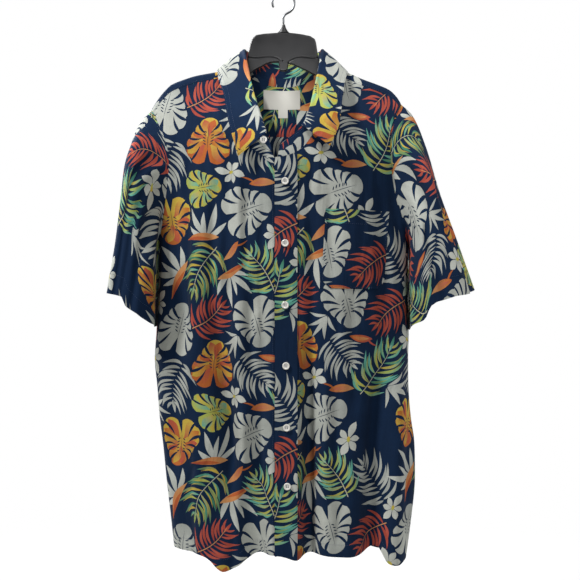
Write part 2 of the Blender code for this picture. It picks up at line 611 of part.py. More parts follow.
def cut_flat(outline, across, down, holes=(), rows=None):
    """Triangles of a flat piece: its outline, holes and an inner grid."""
    outline = np.asarray(outline, float)
    lo = outline.min(0)
    hi = outline.max(0)
    if rows is None:
        rows = np.arange(lo[1] + down * 0.5, hi[1], down)
    pts = []
    for k, v in enumerate(rows):
        us = np.arange(lo[0] + across * 0.5, hi[0], across)
        pts.append(np.column_stack([us, np.full(len(us), v)]))
    pts = np.vstack(pts) if pts else np.zeros((0, 2))
    pts = pts[inside(outline, pts)]
    pts = pts[far_from(outline, pts, across * 0.4, across / down)]
    for hole in holes:
        pts = pts[~inside(hole, pts)]
        pts = pts[far_from(hole, pts, across * 0.4, across / down)]
    loops = [outline] + [np.asarray(h, float) for h in holes]
    verts = []
    edges = []
    for loop in loops:
        base = len(verts)
        verts.extend(loop.tolist())
        edges.extend((base + i, base + (i + 1) % len(loop)) for i in range(len(loop)))
    verts.extend(pts.tolist())
    faces = []
    out = delaunay_2d_cdt([Vector(v) for v in verts], edges, faces, 3, 1e-5, False)
    co = np.array([tuple(v) for v in out[0]])
    tris = [tuple(f) for f in out[2]]
    keep = []
    for f in tris:
        mid = co[list(f)].mean(0)[None]
        if inside(outline, mid)[0] and not any(inside(np.asarray(h), mid)[0] for h in holes):
            keep.append(f)
    used = sorted({i for f in keep for i in f})
    where = {v: i for i, v in enumerate(used)}
    return co[used], [tuple(where[i] for i in f) for f in keep]


def wall_solid(name, pos, nrm, faces, material, lift=0.0, wall=WALL):
    """Closed cloth wall: the surface, the same surface moved in, and the rim."""
    lift = np.broadcast_to(np.asarray(lift, float), (len(pos),))[:, None]
    outer = pos + nrm * lift
    inner = pos + nrm * (lift - wall)
    f0 = faces[len(faces) // 2]
    a, b, c = (outer[i] for i in f0[:3])
    if np.dot(np.cross(b - a, c - a), nrm[list(f0)].mean(0)) < 0:
        faces = [tuple(reversed(f)) for f in faces]
    n = len(pos)
    once = {}
    for f in faces:
        for i, j in zip(f, f[1:] + f[:1]):
            if (j, i) in once:
                del once[(j, i)]
            else:
                once[(i, j)] = True
    solid = list(faces) + [tuple(n + i for i in reversed(f)) for f in faces]
    solid += [(j, i, n + i, n + j) for i, j in once]
    return new_object(name, np.vstack([outer, inner]), solid, material)


def grid_faces(rows, cols, wrap=False):
    faces = []
    for r in range(rows - 1):
        for c in range(cols if wrap else cols - 1):
            d = (c + 1) % cols
            faces.append((r * cols + c, r * cols + d, (r + 1) * cols + d, (r + 1) * cols + c))
    return faces


def closed_solid(name, rings, material):
    """Solid from rings of equal count, with flat ends."""
    n = len(rings[0])
    verts = np.vstack(rings)
    faces = []
    for r in range(len(rings) - 1):
        for c in range(n):
            d = (c + 1) % n
            faces.append((r * n + c, r * n + d, (r + 1) * n + d, (r + 1) * n + c))
    faces.append(tuple(reversed(range(n))))
    faces.append(tuple(range((len(rings) - 1) * n, len(rings) * n)))
    return new_object(name, verts, faces, material)


def material(name, color, rough=0.85, metal=0.0):
    mat = bpy.data.materials.new(name)
    mat.use_nodes = True
    shader = mat.node_tree.nodes["Principled BSDF"]
    shader.inputs["Base Color"].default_value = (*color, 1.0)
    shader.inputs["Roughness"].default_value = rough
    shader.inputs["Metallic"].default_value = metal
    return mat


# ---------------------------------------------------------------- pieces
def to_runs(chart, line):
    return np.column_stack([chart.run_at(line[:, 0], line[:, 1]), line[:, 1]])


def nudge(chart_line, amount):
    """Move a seam line of a flat piece inwards by its share of the seam gap."""
    d = np.gradient(chart_line, axis=0)
    side = unit(np.column_stack([-d[:, 1], d[:, 0]]))
    return chart_line + side * amount


def shrink(outline, amount):
    """The whole outline moved inwards by amount, corners kept."""
    area = 0.5 * np.sum(outline[:, 0] * np.roll(outline[:, 1], -1)
                        - np.roll(outline[:, 0], -1) * outline[:, 1])
    sign = 1 if area > 0 else -1
    prev = unit(outline - np.roll(outline, 1, axis=0))
    nxt = unit(np.roll(outline, -1, axis=0) - outline)
    n0 = np.column_stack([-prev[:, 1], prev[:, 0]]) * sign
    n1 = np.column_stack([-nxt[:, 1], nxt[:, 0]]) * sign
    mid = unit(n0 + n1)
    scale = 1 / np.maximum((mid * n0).sum(1), 0.5)
    return outline + mid * (amount * scale)[:, None]


def join(*lines):
    out = [lines[0]]
    for line in lines[1:]:
        if np.linalg.norm(out[-1][-1] - line[0]) < 0.6:
            line = line[1:]
        out.append(line)
    loop = np.vstack(out)
    if np.linalg.norm(loop[0] - loop[-1]) < 0.6:
        loop = loop[:-1]
    return loop


def front_outline(side, step):
    """Outline of one front in (run, z)."""
    part_front = armhole_parts(side, step)[0]
    seam, neck, k = yoke_front_seam(side, step)
    under = part_front[-1]
    if side < 0:
        centre = curve(FREE_EDGE[:-1], step=step)
        centre = np.vstack([centre, even(np.array([(16.0, -380.0), (16.0, -892.0)]),
                                         step=step * 2)[1:]])
    else:
        centre = even(np.array([NECK_FRONT[1][-1], (-12.6, -889.3)]), step=step * 2)
    hem = hem_line(HEM_FRONT, centre[-1, 0], side_x(side, -886.0), step)
    hem[0] = centre[-1]
    side_z = even(np.array([(0.0, hem[-1, 1]), (0.0, under[1])]), step=step * 2)[:, 1]
    side_pts = np.column_stack([FRONT.side_run(side_z, side), side_z])
    neck_part = even(neck[k:], step=step)
    lines = [to_runs(FRONT, neck_part), to_runs(FRONT, centre)]
    arm = to_runs(FRONT, part_front)
    hem = to_runs(FRONT, hem)
    hem[-1] = side_pts[0]
    arm[-1] = side_pts[-1]
    return join(*lines, hem, side_pts, arm[::-1], to_runs(FRONT, seam)[::-1])


def make_front(side, name, mat):
    outline = shrink(front_outline(side, EDGE_STEP), GAP * 0.6)
    flat, faces = cut_flat(outline, GRID_ACROSS, GRID_DOWN)
    pos, nrm = FRONT.at(flat[:, 0], flat[:, 1])
    lift = np.zeros(len(pos))
    if side < 0:
        lift = -(LAP + 0.7) * ease((pos[:, 0] + 28.0) / 12.0)
    return wall_solid(name, pos, nrm, faces, mat, lift)


def back_outline(step):
    left = armhole_parts(-1, step)[3]
    right = armhole_parts(1, step)[3]
    seam = even(np.array([left[0], right[0]]), step=step)
    x0 = side_x(-1, -886.0)
    x1 = side_x(1, -895.0)
    hem = hem_line(HEM_BACK, x0, x1, step)
    zl = even(np.array([(0.0, left[-1, 1]), (0.0, hem[0, 1])]), step=step * 2)[:, 1]
    zr = even(np.array([(0.0, right[-1, 1]), (0.0, hem[-1, 1])]), step=step * 2)[:, 1]
    # on the back the run rises towards the wearer's right (x falls)
    side_l = np.column_stack([BACK.side_run(zl, 1), zl])
    side_r = np.column_stack([BACK.side_run(zr, -1), zr])
    arm_l = to_runs(BACK, left)
    arm_r = to_runs(BACK, right)
    arm_l[-1] = side_l[0]
    arm_r[-1] = side_r[0]
    hem = to_runs(BACK, hem)
    hem[0] = side_l[-1]
    hem[-1] = side_r[-1]
    return join(arm_l, side_l, hem, side_r[::-1], arm_r[::-1], to_runs(BACK, seam)[::-1])


def make_back(mat):
    outline = shrink(back_outline(EDGE_STEP), GAP * 0.6)
    flat, faces = cut_flat(outline, GRID_ACROSS, GRID_DOWN)
    pos, nrm = BACK.at(flat[:, 0], flat[:, 1])
    return wall_solid("back", pos, nrm, faces, mat)


def yoke_outline(step):
    parts = []
    for side in (1, -1):
        seam, neck, k = yoke_front_seam(side, step)
        _, over_front, over_back, _ = armhole_parts(side, step)
        neck_over = even(neck[:k + 1], step=step * 0.4)
        f = np.column_stack([seam[:, 0], YOKE.run_at(seam[:, 0], seam[:, 1], True)])
        of = np.column_stack([over_front[:, 0],
                              YOKE.run_at(over_front[:, 0], over_front[:, 1], True)])
        ob = np.column_stack([over_back[:, 0],
                              YOKE.run_at(over_back[:, 0], over_back[:, 1], False)])
        nk = np.column_stack([neck_over[:, 0],
                              YOKE.run_at(neck_over[:, 0], neck_over[:, 1], True)])
        top = 0.5 * (of[-1] + ob[0])
        of[-1] = top
        ob[0] = top
        parts.append((nk, f, of, ob))
    back_neck = curve(NECK_BACK, step=step * 0.5)
    bn = np.column_stack([back_neck[:, 0],
                          YOKE.run_at(back_neck[:, 0], back_neck[:, 1], False)])
    right, left = parts
    bn[-1] = right[0][0]
    bn[0] = left[0][0]
    xs = np.linspace(right[3][-1, 0], left[3][-1, 0], int(370.0 / step))
    seam_back = np.column_stack([xs, YOKE.run_at(xs, np.full(len(xs), YOKE_BACK_Z), False)])
    seam_back[0] = right[3][-1]
    seam_back[-1] = left[3][-1]
    return join(bn, right[0], right[1], right[2], right[3], seam_back,
                left[3][::-1], left[2][::-1], left[1][::-1], left[0][::-1])


def make_yoke(mat):
    outline = shrink(yoke_outline(EDGE_STEP), GAP * 0.6)
    flat, faces = cut_flat(outline, 13.0, 9.0, rows=YOKE_ROWS)
    pos, nrm = YOKE.at(flat[:, 0], flat[:, 1])
    return wall_solid("yoke", pos, nrm, faces, mat)


# ---------------------------------------------------------------- sleeves
def armhole_loop(side, step):
    """Armhole as a closed loop of points, surface normals and outward directions,
    from the shoulder down the front to the underarm and up the back."""
    part_front, over_front, over_back, part_back = armhole_parts(side, step)
    of = over_front[::-1]
    top = YOKE.at(of[:, 0], YOKE.run_at(of[:, 0], of[:, 1], True))
    fr = to_runs(FRONT, part_front)
    fr[-1, 0] = FRONT.side_run(part_front[-1:, 1], side)[0]
    down = FRONT.at(fr[:, 0], fr[:, 1])
    bk = to_runs(BACK, part_back)
    bk[-1, 0] = BACK.side_run(part_back[-1:, 1], -side)[0]
    up = BACK.at(bk[:, 0], bk[:, 1])
    ob = over_back
    over = YOKE.at(ob[:, 0], YOKE.run_at(ob[:, 0], ob[:, 1], False))
    pos = np.vstack([top[0][:-1], down[0], up[0][::-1][1:-1], over[0][::-1][:-1]])
    nrm = np.vstack([top[1][:-1], down[1], up[1][::-1][1:-1], over[1][::-1][:-1]])
    tangent = unit(np.roll(pos, -1, axis=0) - np.roll(pos, 1, axis=0))
    away = unit(np.cross(tangent, nrm))
    if away[0, 0] * side < 0:
        away = -away
    return pos, nrm, away


def sleeve_shares(pos):
    """Share round the loop of every armhole point: 0 at the shoulder, 0.5 underarm."""
    seg = np.linalg.norm(np.roll(pos, -1, axis=0) - pos, axis=1)
    run = np.concatenate([[0], np.cumsum(seg)])
    under = int(np.argmin(pos[:, 2]))
    share = np.where(np.arange(len(pos)) <= under, 0.5 * run[:-1] / run[under],
                     0.5 + 0.5 * (run[:-1] - run[under]) / (run[-1] - run[under]))
    return share


def sleeve_section(side, v, share):
    """Point of the sleeve's own form at length share v and shares round it."""
    rows = np.array(SLEEVE[side])
    val = [spline(rows[:, 0], rows[:, 1 + k])(v) for k in range(7)]
    ox, oz, ix, iz, front, back, lean = val
    ang = 2 * math.pi * share
    c = np.cos(ang)
    s = np.sin(ang)
    along = 0.5 - 0.5 * np.sign(c) * np.abs(c) ** 0.9
    # move the deepest points towards the outer line
    along = along + (lean - 0.5) * np.sin(math.pi * along) ** 2
    depth = np.sign(s) * np.abs(s) ** 0.9
    x = ox + (ix - ox) * along
    z = oz + (iz - oz) * along
    y = -np.where(s > 0, front, back) * depth
    signed = np.abs(np.where(share > 0.5, share - 1.0, share))
    x = x - side * SLEEVE_HUG * np.exp(-((signed - 0.41) / 0.055) ** 2) * ease(v / 0.4)
    table = np.array(HEM_RISE)
    rise = np.interp(signed, table[:, 0], table[:, 1 if side < 0 else 2])
    z = z + rise * ease((v - 0.5) / 0.5)
    return np.column_stack([x, y, z])


def sleeve_grid(side, step, rows):
    """Rows x points of a sleeve's outer surface, first row at the armhole seam."""
    pos, nrm, away = armhole_loop(side, step)
    share = sleeve_shares(pos)
    signed = np.where(share > 0.5, share - 1.0, share)
    start = pos + away * (GAP + 0.1)
    grid = []
    for v in np.linspace(0, 1, rows):
        own = sleeve_section(side, v, share)
        mix = ease(v / 0.42) if v > 0 else 0.0
        lead = away * (60.0 * v) * (1 - mix)
        point = start * (1 - mix) + lead + own * mix
        for sd, a0, a1, high, width, b0, b1 in SLEEVE_FOLDS:
            if sd != side:
                continue
            centre = a0 + (a1 - a0) * v
            h = high * ease((v - b0) / (b1 - b0)) * np.exp(-((signed - centre) / width) ** 2)
            mid = own.mean(0)
            out = unit((own - mid) * (1.0, 1.0, 0.35))
            point = point + out * h[:, None]
        grid.append(point)
    return np.array(grid), nrm


def make_sleeve(side, name, mat):
    grid, seam_normal = sleeve_grid(side, 18.0, 11)
    rows, cols = grid.shape[:2]
    wide = np.concatenate([grid[:, -1:], grid, grid[:, :1]], axis=1)
    normal = surface_normals(wide)[:, 1:-1]
    mid = grid.mean(axis=1, keepdims=True)
    if np.mean(np.sum(normal * (grid - mid), axis=2)) < 0:
        normal = -normal
    normal[0] = seam_normal
    normal[1] = unit(normal[1] + seam_normal)
    return wall_solid(name, grid.reshape(-1, 3), normal.reshape(-1, 3),
                      grid_faces(rows, cols, True), mat)


# ---------------------------------------------------------------- collar
def collar_shares(count):
    """Shares along the neck seam, closer together where the collar turns."""
    s = np.linspace(0, 1, 2001)
    weight = 1 + 2.4 * (np.exp(-((s - 0.32) / 0.04) ** 2) + np.exp(-((s - 0.62) / 0.04) ** 2))
    run = np.concatenate([[0], np.cumsum(0.5 * (weight[1:] + weight[:-1]))])
    shares = np.interp(np.linspace(0, run[-1], count), run, s)
    table = np.array(COLLAR)
    for row in LEAF_ROWS:
        k = int(np.argmin(np.abs(shares - table[row, 6])))
        shares[k] = table[row, 6]
    return shares


def neck_loop(shares):
    """Neck seam from the right front's end round the back to the left front's end:
    points, surface normals and directions away from the panels."""
    left = curve(NECK_FRONT[-1], step=1.0)[::-1]
    back = curve(NECK_BACK, step=1.0)
    right = curve(NECK_FRONT[1], step=1.0)
    fl = to_runs(FRONT, left[:-6])
    bk = np.column_stack([back[:, 0], YOKE.run_at(back[:, 0], back[:, 1], False)])
    fr = to_runs(FRONT, right[6:])
    a = FRONT.at(fl[:, 0], fl[:, 1])
    b = YOKE.at(bk[:, 0], bk[:, 1])
    c = FRONT.at(fr[:, 0], fr[:, 1])
    pos = np.vstack([a[0], b[0][1:-1], c[0]])
    nrm = np.vstack([a[1], b[1][1:-1], c[1]])
    run = np.concatenate([[0], np.cumsum(np.linalg.norm(np.diff(pos, axis=0), axis=1))])
    at = shares * run[-1]
    p = np.column_stack([np.interp(at, run, pos[:, k]) for k in range(3)])
    n = unit(np.column_stack([np.interp(at, run, nrm[:, k]) for k in range(3)]))
    away = unit(np.cross(np.gradient(p, axis=0), n))
    if away[len(p) // 2, 2] < 0:
        away = -away
    return p, n, away


def stand_grid(shares, rows):
    """Outer surface of the collar stand, first row on the neck seam."""
    seam, normal, away = neck_loop(shares)
    table = np.array(COLLAR)
    clipped = np.clip(shares, table[0, 6], table[-1, 6])
    roll = np.column_stack([spline(table[:, 6], table[:, k])(clipped) for k in range(3)])
    # the right front's end of the stand is rounded off
    start = table[0, 6]
    low = shares < start
    end = np.array((-20.0, -67.5, -250.0))
    t = (shares[low] / start)[:, None]
    roll[low] = end * (1 - t) ** 1.5 + table[0, :3] * (1 - (1 - t) ** 1.5)
    turn = np.exp(-((shares - 0.31) / 0.03) ** 2) + np.exp(-((shares - 0.63) / 0.03) ** 2)
    base = seam + away * (GAP + 0.15) + np.array((0, 0, 2.2)) * turn[:, None]
    rise = roll - base
    height = np.linalg.norm(rise, axis=1)[:, None]
    lead = unit(away * 0.35 + unit(rise) * 0.65)
    grid = []
    for v in np.linspace(0, 1, rows):
        point = base * (1 - 3 * v ** 2 + 2 * v ** 3) + roll * (3 * v ** 2 - 2 * v ** 3)
        point = point + lead * height * (v * (1 - v) ** 2) + rise * (v * v * (v - 1))
        grid.append(point)
    return np.array(grid), normal


def stand_normals(grid, seam_normal):
    normal = surface_normals(grid)
    if np.mean(np.sum(normal[0] * seam_normal, axis=1)) < 0:
        normal = -normal
    normal[0] = unit(seam_normal + 0.6 * normal[0])
    return normal


def make_stand(mat):
    shares = collar_shares(48)
    grid, seam_normal = stand_grid(shares, 5)
    normal = stand_normals(grid, seam_normal)
    return wall_solid("collar_stand", grid.reshape(-1, 3), normal.reshape(-1, 3),
                      grid_faces(5, len(shares)), mat)


def leaf_grid(shares, over, down):
    """Outer surface of the collar leaf: over the roll and down to its outer edge."""
    table = np.array(COLLAR)
    first, last = table[LEAF_ROWS[0], 6], table[LEAF_ROWS[1], 6]
    own = shares[(shares > first - 1e-9) & (shares < last + 1e-9)]
    stand, _ = stand_grid(shares, 5)
    pick = np.array([int(np.argmin(np.abs(shares - o))) for o in own])
    roll = stand[-1][pick]
    up = unit((stand[-1] - stand[-2])[pick])
    rows = table[LEAF_ROWS[0]:LEAF_ROWS[1] + 1]
    edge = np.column_stack([spline(rows[:, 6], rows[:, 3 + k])(own) for k in range(3)])
    along = unit(np.gradient(roll, axis=0))
    out = unit(np.cross(along, up))
    if out[len(own) // 2, 1] < 0:
        out = -out
    centre = roll + out * (ROLL_R - WALL) + up * 0.5
    lines = []
    normals = []
    for deg in np.linspace(180.0, 0.0, over):
        a = math.radians(deg)
        ray = out * math.cos(a) + up * math.sin(a)
        lines.append(centre + ray * ROLL_R)
        normals.append(ray)
    start = lines[-1]
    fall = edge - start
    flat = unit(np.cross(unit(fall), along))
    flat = np.where(np.sum(flat * out, axis=1)[:, None] < 0, -flat, flat)
    for t in np.linspace(0, 1, down + 1)[1:]:
        lines.append(start + fall * t + flat * (LEAF_BULGE * math.sin(math.pi * t ** 0.8)))
        normals.append(flat)
    grid = np.array(lines)
    normal = np.array(normals)
    real = surface_normals(grid)
    if np.mean(np.sum(real[-1] * flat, axis=1)) < 0:
        real = -real
    normal[over:] = real[over:]
    return grid, normal


def make_leaf(mat):
    grid, normal = leaf_grid(collar_shares(48), 4, 3)
    rows, cols = grid.shape[:2]
    return wall_solid("collar_leaf", grid.reshape(-1, 3), normal.reshape(-1, 3),
                      grid_faces(rows, cols), mat)


# ---------------------------------------------------------------- laid-on pieces
def make_placket(mat):
    top = curve(NECK_FRONT[1], step=0.5)
    top = top[(top[:, 0] < BAND_RIGHT)]
    left_x = BAND_LEFT
    top = np.vstack([top, [(left_x, -272.2)]])
    top = even(top, step=EDGE_STEP)
    hem = hem_line(HEM_FRONT, left_x, BAND_RIGHT, EDGE_STEP)
    left = even(np.array([top[-1], hem[0]]), step=18.0)
    right = even(np.array([hem[-1], top[0]]), step=18.0)
    outline = join(to_runs(FRONT, top), to_runs(FRONT, left), to_runs(FRONT, hem),
                   to_runs(FRONT, right))
    outline = shrink(outline, GAP * 0.6)
    flat, faces = cut_flat(outline, 12.0, 18.0)
    pos, nrm = FRONT.at(flat[:, 0], flat[:, 1])
    return wall_solid("placket", pos, nrm, faces, mat, LAP + 0.15)


def make_pocket(mat):
    pts = np.array(POCKET)
    sides = [even(pts[[i, (i + 1) % len(pts)]], step=11.0) for i in range(len(pts))]
    outline = join(*[to_runs(FRONT, s) for s in sides])
    flat, faces = cut_flat(outline, GRID_ACROSS, 16.0)
    pos, nrm = FRONT.at(flat[:, 0], flat[:, 1])
    return wall_solid("pocket", pos, nrm, faces, mat, LAP + 0.7)


def make_label(name, x0, x1, z_top, z_bot, depth, mat):
    """Flat label just inside the yoke's back neck."""
    outline = np.array([(x0, z_bot), (x1, z_bot), (x1, z_top), (x0, z_top)])
    sides = [even(outline[[i, (i + 1) % 4]], step=8.0) for i in range(4)]
    flat, faces = cut_flat(join(*sides), 8.0, 8.0)
    w = YOKE.run_at(flat[:, 0], flat[:, 1], False)
    pos, nrm = YOKE.at(flat[:, 0], w)
    return wall_solid(name, pos, nrm, faces, mat, -depth, 0.8)


def circle(r, n, cx=0.0, cy=0.0):
    a = np.arange(n) * 2 * math.pi / n
    return np.column_stack([cx + r * np.cos(a), cy + r * np.sin(a)])


def make_button(name, at, normal, mat):
    """Four-hole button with its back against the point, facing along the normal."""
    r = BUTTON_D / 2
    outer = circle(r - 0.5, 18)
    holes = [circle(0.65, 5, sx * 1.35, sy * 1.35)[::-1] for sx in (-1, 1) for sy in (-1, 1)]
    flat, faces = cut_flat(outer, 30.0, 30.0, holes)
    n = np.asarray(normal, float)
    right = unit(np.cross((0.0, 0.0, 1.0), n))
    up = np.cross(n, right)
    centre = at + n * (GAP + BUTTON_T / 2)
    base = centre + flat[:, :1] * right + flat[:, 1:] * up
    front = base + n * BUTTON_T / 2
    rear = base - n * BUTTON_T / 2
    rim_flat = circle(r, 18)
    rim = centre + rim_flat[:, :1] * right + rim_flat[:, 1:] * up
    f0 = faces[0]
    if np.dot(np.cross(front[f0[1]] - front[f0[0]], front[f0[2]] - front[f0[0]]), n) < 0:
        faces = [tuple(reversed(f)) for f in faces]
    count = len(flat)
    once = {}
    for f in faces:
        for i, j in zip(f, f[1:] + f[:1]):
            if (j, i) in once:
                del once[(j, i)]
            else:
                once[(i, j)] = True
    solid = list(faces) + [tuple(count + i for i in reversed(f)) for f in faces]
    radius = np.linalg.norm(flat, axis=1)
    order = np.arctan2(flat[:, 1], flat[:, 0])
    for i, j in once:
        if radius[i] > r - 1.0 and radius[j] > r - 1.0:
            ki = int(round(order[i] / (2 * math.pi) * 18)) % 18
            kj = int(round(order[j] / (2 * math.pi) * 18)) % 18
            a = 2 * count + ki
            b = 2 * count + kj
            solid.append((j, i, a, b))
            solid.append((b, a, count + i, count + j))
        else:
            solid.append((j, i, count + i, count + j))
    return new_object(name, np.vstack([front, rear, rim]), solid, mat)


# ---------------------------------------------------------------- hanger
def make_hanger(mat):
    rows = np.array(HANGER)
    top = spline(rows[:, 0], rows[:, 1])
    bot = spline(rows[:, 0], rows[:, 2])
    half = spline(rows[:, 0], rows[:, 3])
    xs = np.unique(np.concatenate([rows[:, 0], np.arange(-184.0, 178.1, 20.0)]))
    keep = [xs[0]]
    for x in xs[1:]:
        if x - keep[-1] > 1.0:
            keep.append(x)
    rings = []
    for x in keep:
        zt, zb, h = float(top(x)), float(bot(x)), float(half(x))
        r = min(h, (zt - zb) / 2) * 0.98
        ring = []
        for a in np.linspace(0, math.pi, 5):
            ring.append((x, h * math.cos(a), zt - r + r * math.sin(a)))
        for a in np.linspace(math.pi, 2 * math.pi, 5):
            ring.append((x, h * math.cos(a), zb + r + r * math.sin(a)))
        rings.append(np.array(ring))
    obj = closed_solid("hanger_body", rings, mat)
    return obj


def make_boss(mat):
    """Concave-sided boss on the plate that carries the wire."""
    rings = []
    for z, rx in ((-64.0, 9.6), (-62.0, 7.4), (-59.0, 5.3), (-56.0, 3.9), (-53.0, 3.0),
                  (-50.8, 2.5)):
        ry = min(rx, 4.6 * (0.6 + 0.4 * rx / 9.6))
        a = np.arange(16) * 2 * math.pi / 16
        rings.append(np.column_stack([rx * np.cos(a), ry * np.sin(a), np.full(16, z)]))
    return closed_solid("hanger_boss", rings, mat)


def hook_line():
    centre = (0.0, -HOOK_TURN + HOOK_R)
    arc = []
    for deg in np.linspace(-58.0, 205.0, 40):
        a = math.radians(deg)
        arc.append((centre[0] + HOOK_TURN * math.cos(a), centre[1] + HOOK_TURN * math.sin(a)))
    stem = [p for p in HOOK_PATH]
    return curve(np.array(stem[:-1] + arc), count=32)


def make_hook(mat):
    line = hook_line()
    t = unit(np.gradient(line, axis=0))
    rings = []
    for (x, z), (tx, tz) in zip(line, t):
        a = np.arange(8) * 2 * math.pi / 8
        side = np.array((-tz, 0.0, tx))
        rings.append(np.array((x, 0.0, z)) + HOOK_R * (np.cos(a)[:, None] * side
                     + np.sin(a)[:, None] * np.array((0.0, 1.0, 0.0))))
    return closed_solid("hanger_hook", rings, mat)


def outward(obj):
    """Turn the faces of a closed mesh so that it has positive volume."""
    mesh = obj.data
    volume = 0.0
    co = [v.co for v in mesh.vertices]
    for poly in mesh.polygons:
        vs = poly.vertices
        for i in range(1, len(vs) - 1):
            volume += co[vs[0]].dot(co[vs[i]].cross(co[vs[i + 1]]))
    if volume < 0:
        mesh.flip_normals()


def build():
    for obj in list(bpy.data.objects):
        bpy.data.objects.remove(obj, do_unlink=True)
    cloth = {}
    shades = {"front_right": (0.016, 0.035, 0.10), "front_left": (0.018, 0.038, 0.11),
              "back": (0.015, 0.032, 0.09), "yoke": (0.02, 0.042, 0.12),
              "sleeve_right": (0.017, 0.036, 0.10), "sleeve_left": (0.017, 0.036, 0.10),
              "collar_stand": (0.03, 0.055, 0.14), "collar_leaf": (0.022, 0.046, 0.13),
              "placket": (0.024, 0.05, 0.14), "pocket": (0.024, 0.05, 0.14)}
    for name, color in shades.items():
        cloth[name] = material("cloth_" + name, color)
    make_front(-1, "front_right", cloth["front_right"])
    make_front(1, "front_left", cloth["front_left"])
    make_back(cloth["back"])
    make_yoke(cloth["yoke"])
    make_sleeve(-1, "sleeve_right", cloth["sleeve_right"])
    make_sleeve(1, "sleeve_left", cloth["sleeve_left"])
    make_stand(cloth["collar_stand"])
    make_leaf(cloth["collar_leaf"])
    make_placket(cloth["placket"])
    make_pocket(cloth["pocket"])
    make_label("brand_label", -34.0, 28.0, -149.0, -180.0, LAP + 1.2, material(
        "label_weave", (0.75, 0.73, 0.68), 0.7))
    make_label("size_tab", -9.4, 7.0, -176.0, -193.5, LAP + 2.4, material(
        "tab_weave", (0.72, 0.70, 0.66), 0.7))
    for k, (x, z) in enumerate(zip(BUTTON_X, BUTTON_Z)):
        p = FRONT.run_at(np.array([x]), np.array([z]))
        pos, nrm = FRONT.at(p, np.array([z]))
        make_button("button_%d" % (k + 1), pos[0] + nrm[0] * LAP, nrm[0],
                    material("button_%d" % (k + 1), (0.8, 0.79, 0.75), 0.3))
    grid, _ = stand_grid(np.linspace(0, 1, 401), 9)
    i = 14
    at = grid[4, i]
    n = unit(np.cross(grid[4, i + 2] - grid[4, i - 2], grid[5, i] - grid[3, i]))
    if n[1] > 0:
        n = -n
    make_button("button_collar", at + n * 0.3, n, material("button_collar",
                                                           (0.8, 0.79, 0.75), 0.3))
    black = material("hanger_plastic", (0.02, 0.02, 0.022), 0.45)
    make_hanger(black)
    make_boss(material("hanger_boss", (0.02, 0.02, 0.022), 0.45))
    make_hook(material("hook_wire", (0.6, 0.6, 0.62), 0.3, 1.0))
    for obj in bpy.data.objects:
        outward(obj)


build()
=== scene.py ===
# %% [markdown]
# # A printed summer shirt on its hanger
# This lesson finishes a short-sleeved shirt with a tropical print. The solid model gives
# the frame: where each piece lies and how big it is. Here every cloth piece is cut again
# from its own flat outline with the print in it, laid on the same form as a thin shell,
# and sewn, buttoned and hung on a moulded hanger.

# %% Load the solid model
import math

import bpy
import numpy as np
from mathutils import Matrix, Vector
from mathutils.geometry import delaunay_2d_cdt


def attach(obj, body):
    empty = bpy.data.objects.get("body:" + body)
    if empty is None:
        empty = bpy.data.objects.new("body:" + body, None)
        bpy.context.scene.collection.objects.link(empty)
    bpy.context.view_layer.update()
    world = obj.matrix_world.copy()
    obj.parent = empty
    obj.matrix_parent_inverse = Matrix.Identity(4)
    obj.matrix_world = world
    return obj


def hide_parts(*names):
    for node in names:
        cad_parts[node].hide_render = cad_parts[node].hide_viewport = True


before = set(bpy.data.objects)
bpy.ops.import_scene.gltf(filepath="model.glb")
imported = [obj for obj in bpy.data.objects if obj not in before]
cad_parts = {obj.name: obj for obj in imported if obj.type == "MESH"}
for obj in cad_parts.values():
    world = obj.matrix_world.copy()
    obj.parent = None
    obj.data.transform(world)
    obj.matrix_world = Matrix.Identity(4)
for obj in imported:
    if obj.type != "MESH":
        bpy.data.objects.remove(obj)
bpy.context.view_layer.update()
print("solid nodes:", len(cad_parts))

# %% [markdown]
# ## The camera
# The shirt hangs flat and is seen straight from the front, from the level of its middle,
# about a metre and a half away. A camera has to be turned up by a quarter turn to look
# along the floor, because a new camera looks down.

# %% Place the camera
def placed(name, data):
    """New object at the origin, in the scene."""
    obj = bpy.data.objects.new(name, data)
    bpy.context.scene.collection.objects.link(obj)
    return obj


camera_data = bpy.data.cameras.new("front camera")
camera_data.lens = 64.07
camera_data.sensor_width = 36.0
camera_data.clip_start = 0.01
camera = placed("front camera", camera_data)
camera.location = (0.0104, -1.655, -0.4764)
camera.rotation_euler = (math.pi / 2, 0.0, 0.0)
bpy.context.scene.camera = camera
print("camera at", [round(v, 3) for v in camera.location])

# %% [markdown]
# ## The form that the cloth hangs on
# The body is described by level sections: at each height a rounded oblong with its own
# width and depth, wider in front of and behind the collar. Folds are added as soft ridges
# and troughs along lines that run down the cloth. All sizes here are in millimetres and
# are the solid model's own, so that the thin cloth lies where its solids are.

# %% Sizes
WALL = 1.1            # cloth wall
GAP = 0.3             # clear space between two layers or at a seam
LAP = WALL + GAP      # one layer further out
SECTION_POWER = 2.3   # superellipse power of the body's level sections
ROW_STEP = 2.0        # spacing of the level sections
RING_STEPS = 480      # points round one level section
BAND_LEFT = -13.4     # x of the front band's free edge
BAND_RIGHT = 21.9     # x of the front band's sewn edge
YOKE_BACK_Z = -228.0  # level of the yoke seam on the back
YOKE_DROP = 12.0      # the yoke's front seam lies this far below the shoulder ridge
BAND_MIDDLE = 4.2     # x that the folds keep clear of, for the band
BAND_CLEAR = 18.5     # half the width that they keep clear
HEM_TOP = -880.0      # folds that end above this level fade out
HEM_SIDE = -886.0     # level of the hem at the side seams
HEM_SIDE_BACK = -895.0   # and on the back at the wearer's left
SPREAD_FRONT = 75.0   # how far from the middle the fullness at the collar reaches
SPREAD_BACK = 62.0
BUTTON_D = 11.4
BUTTON_T = 2.4
BUTTON_Z = (-308.9, -404.3, -499.6, -593.4, -688.8, -779.5)
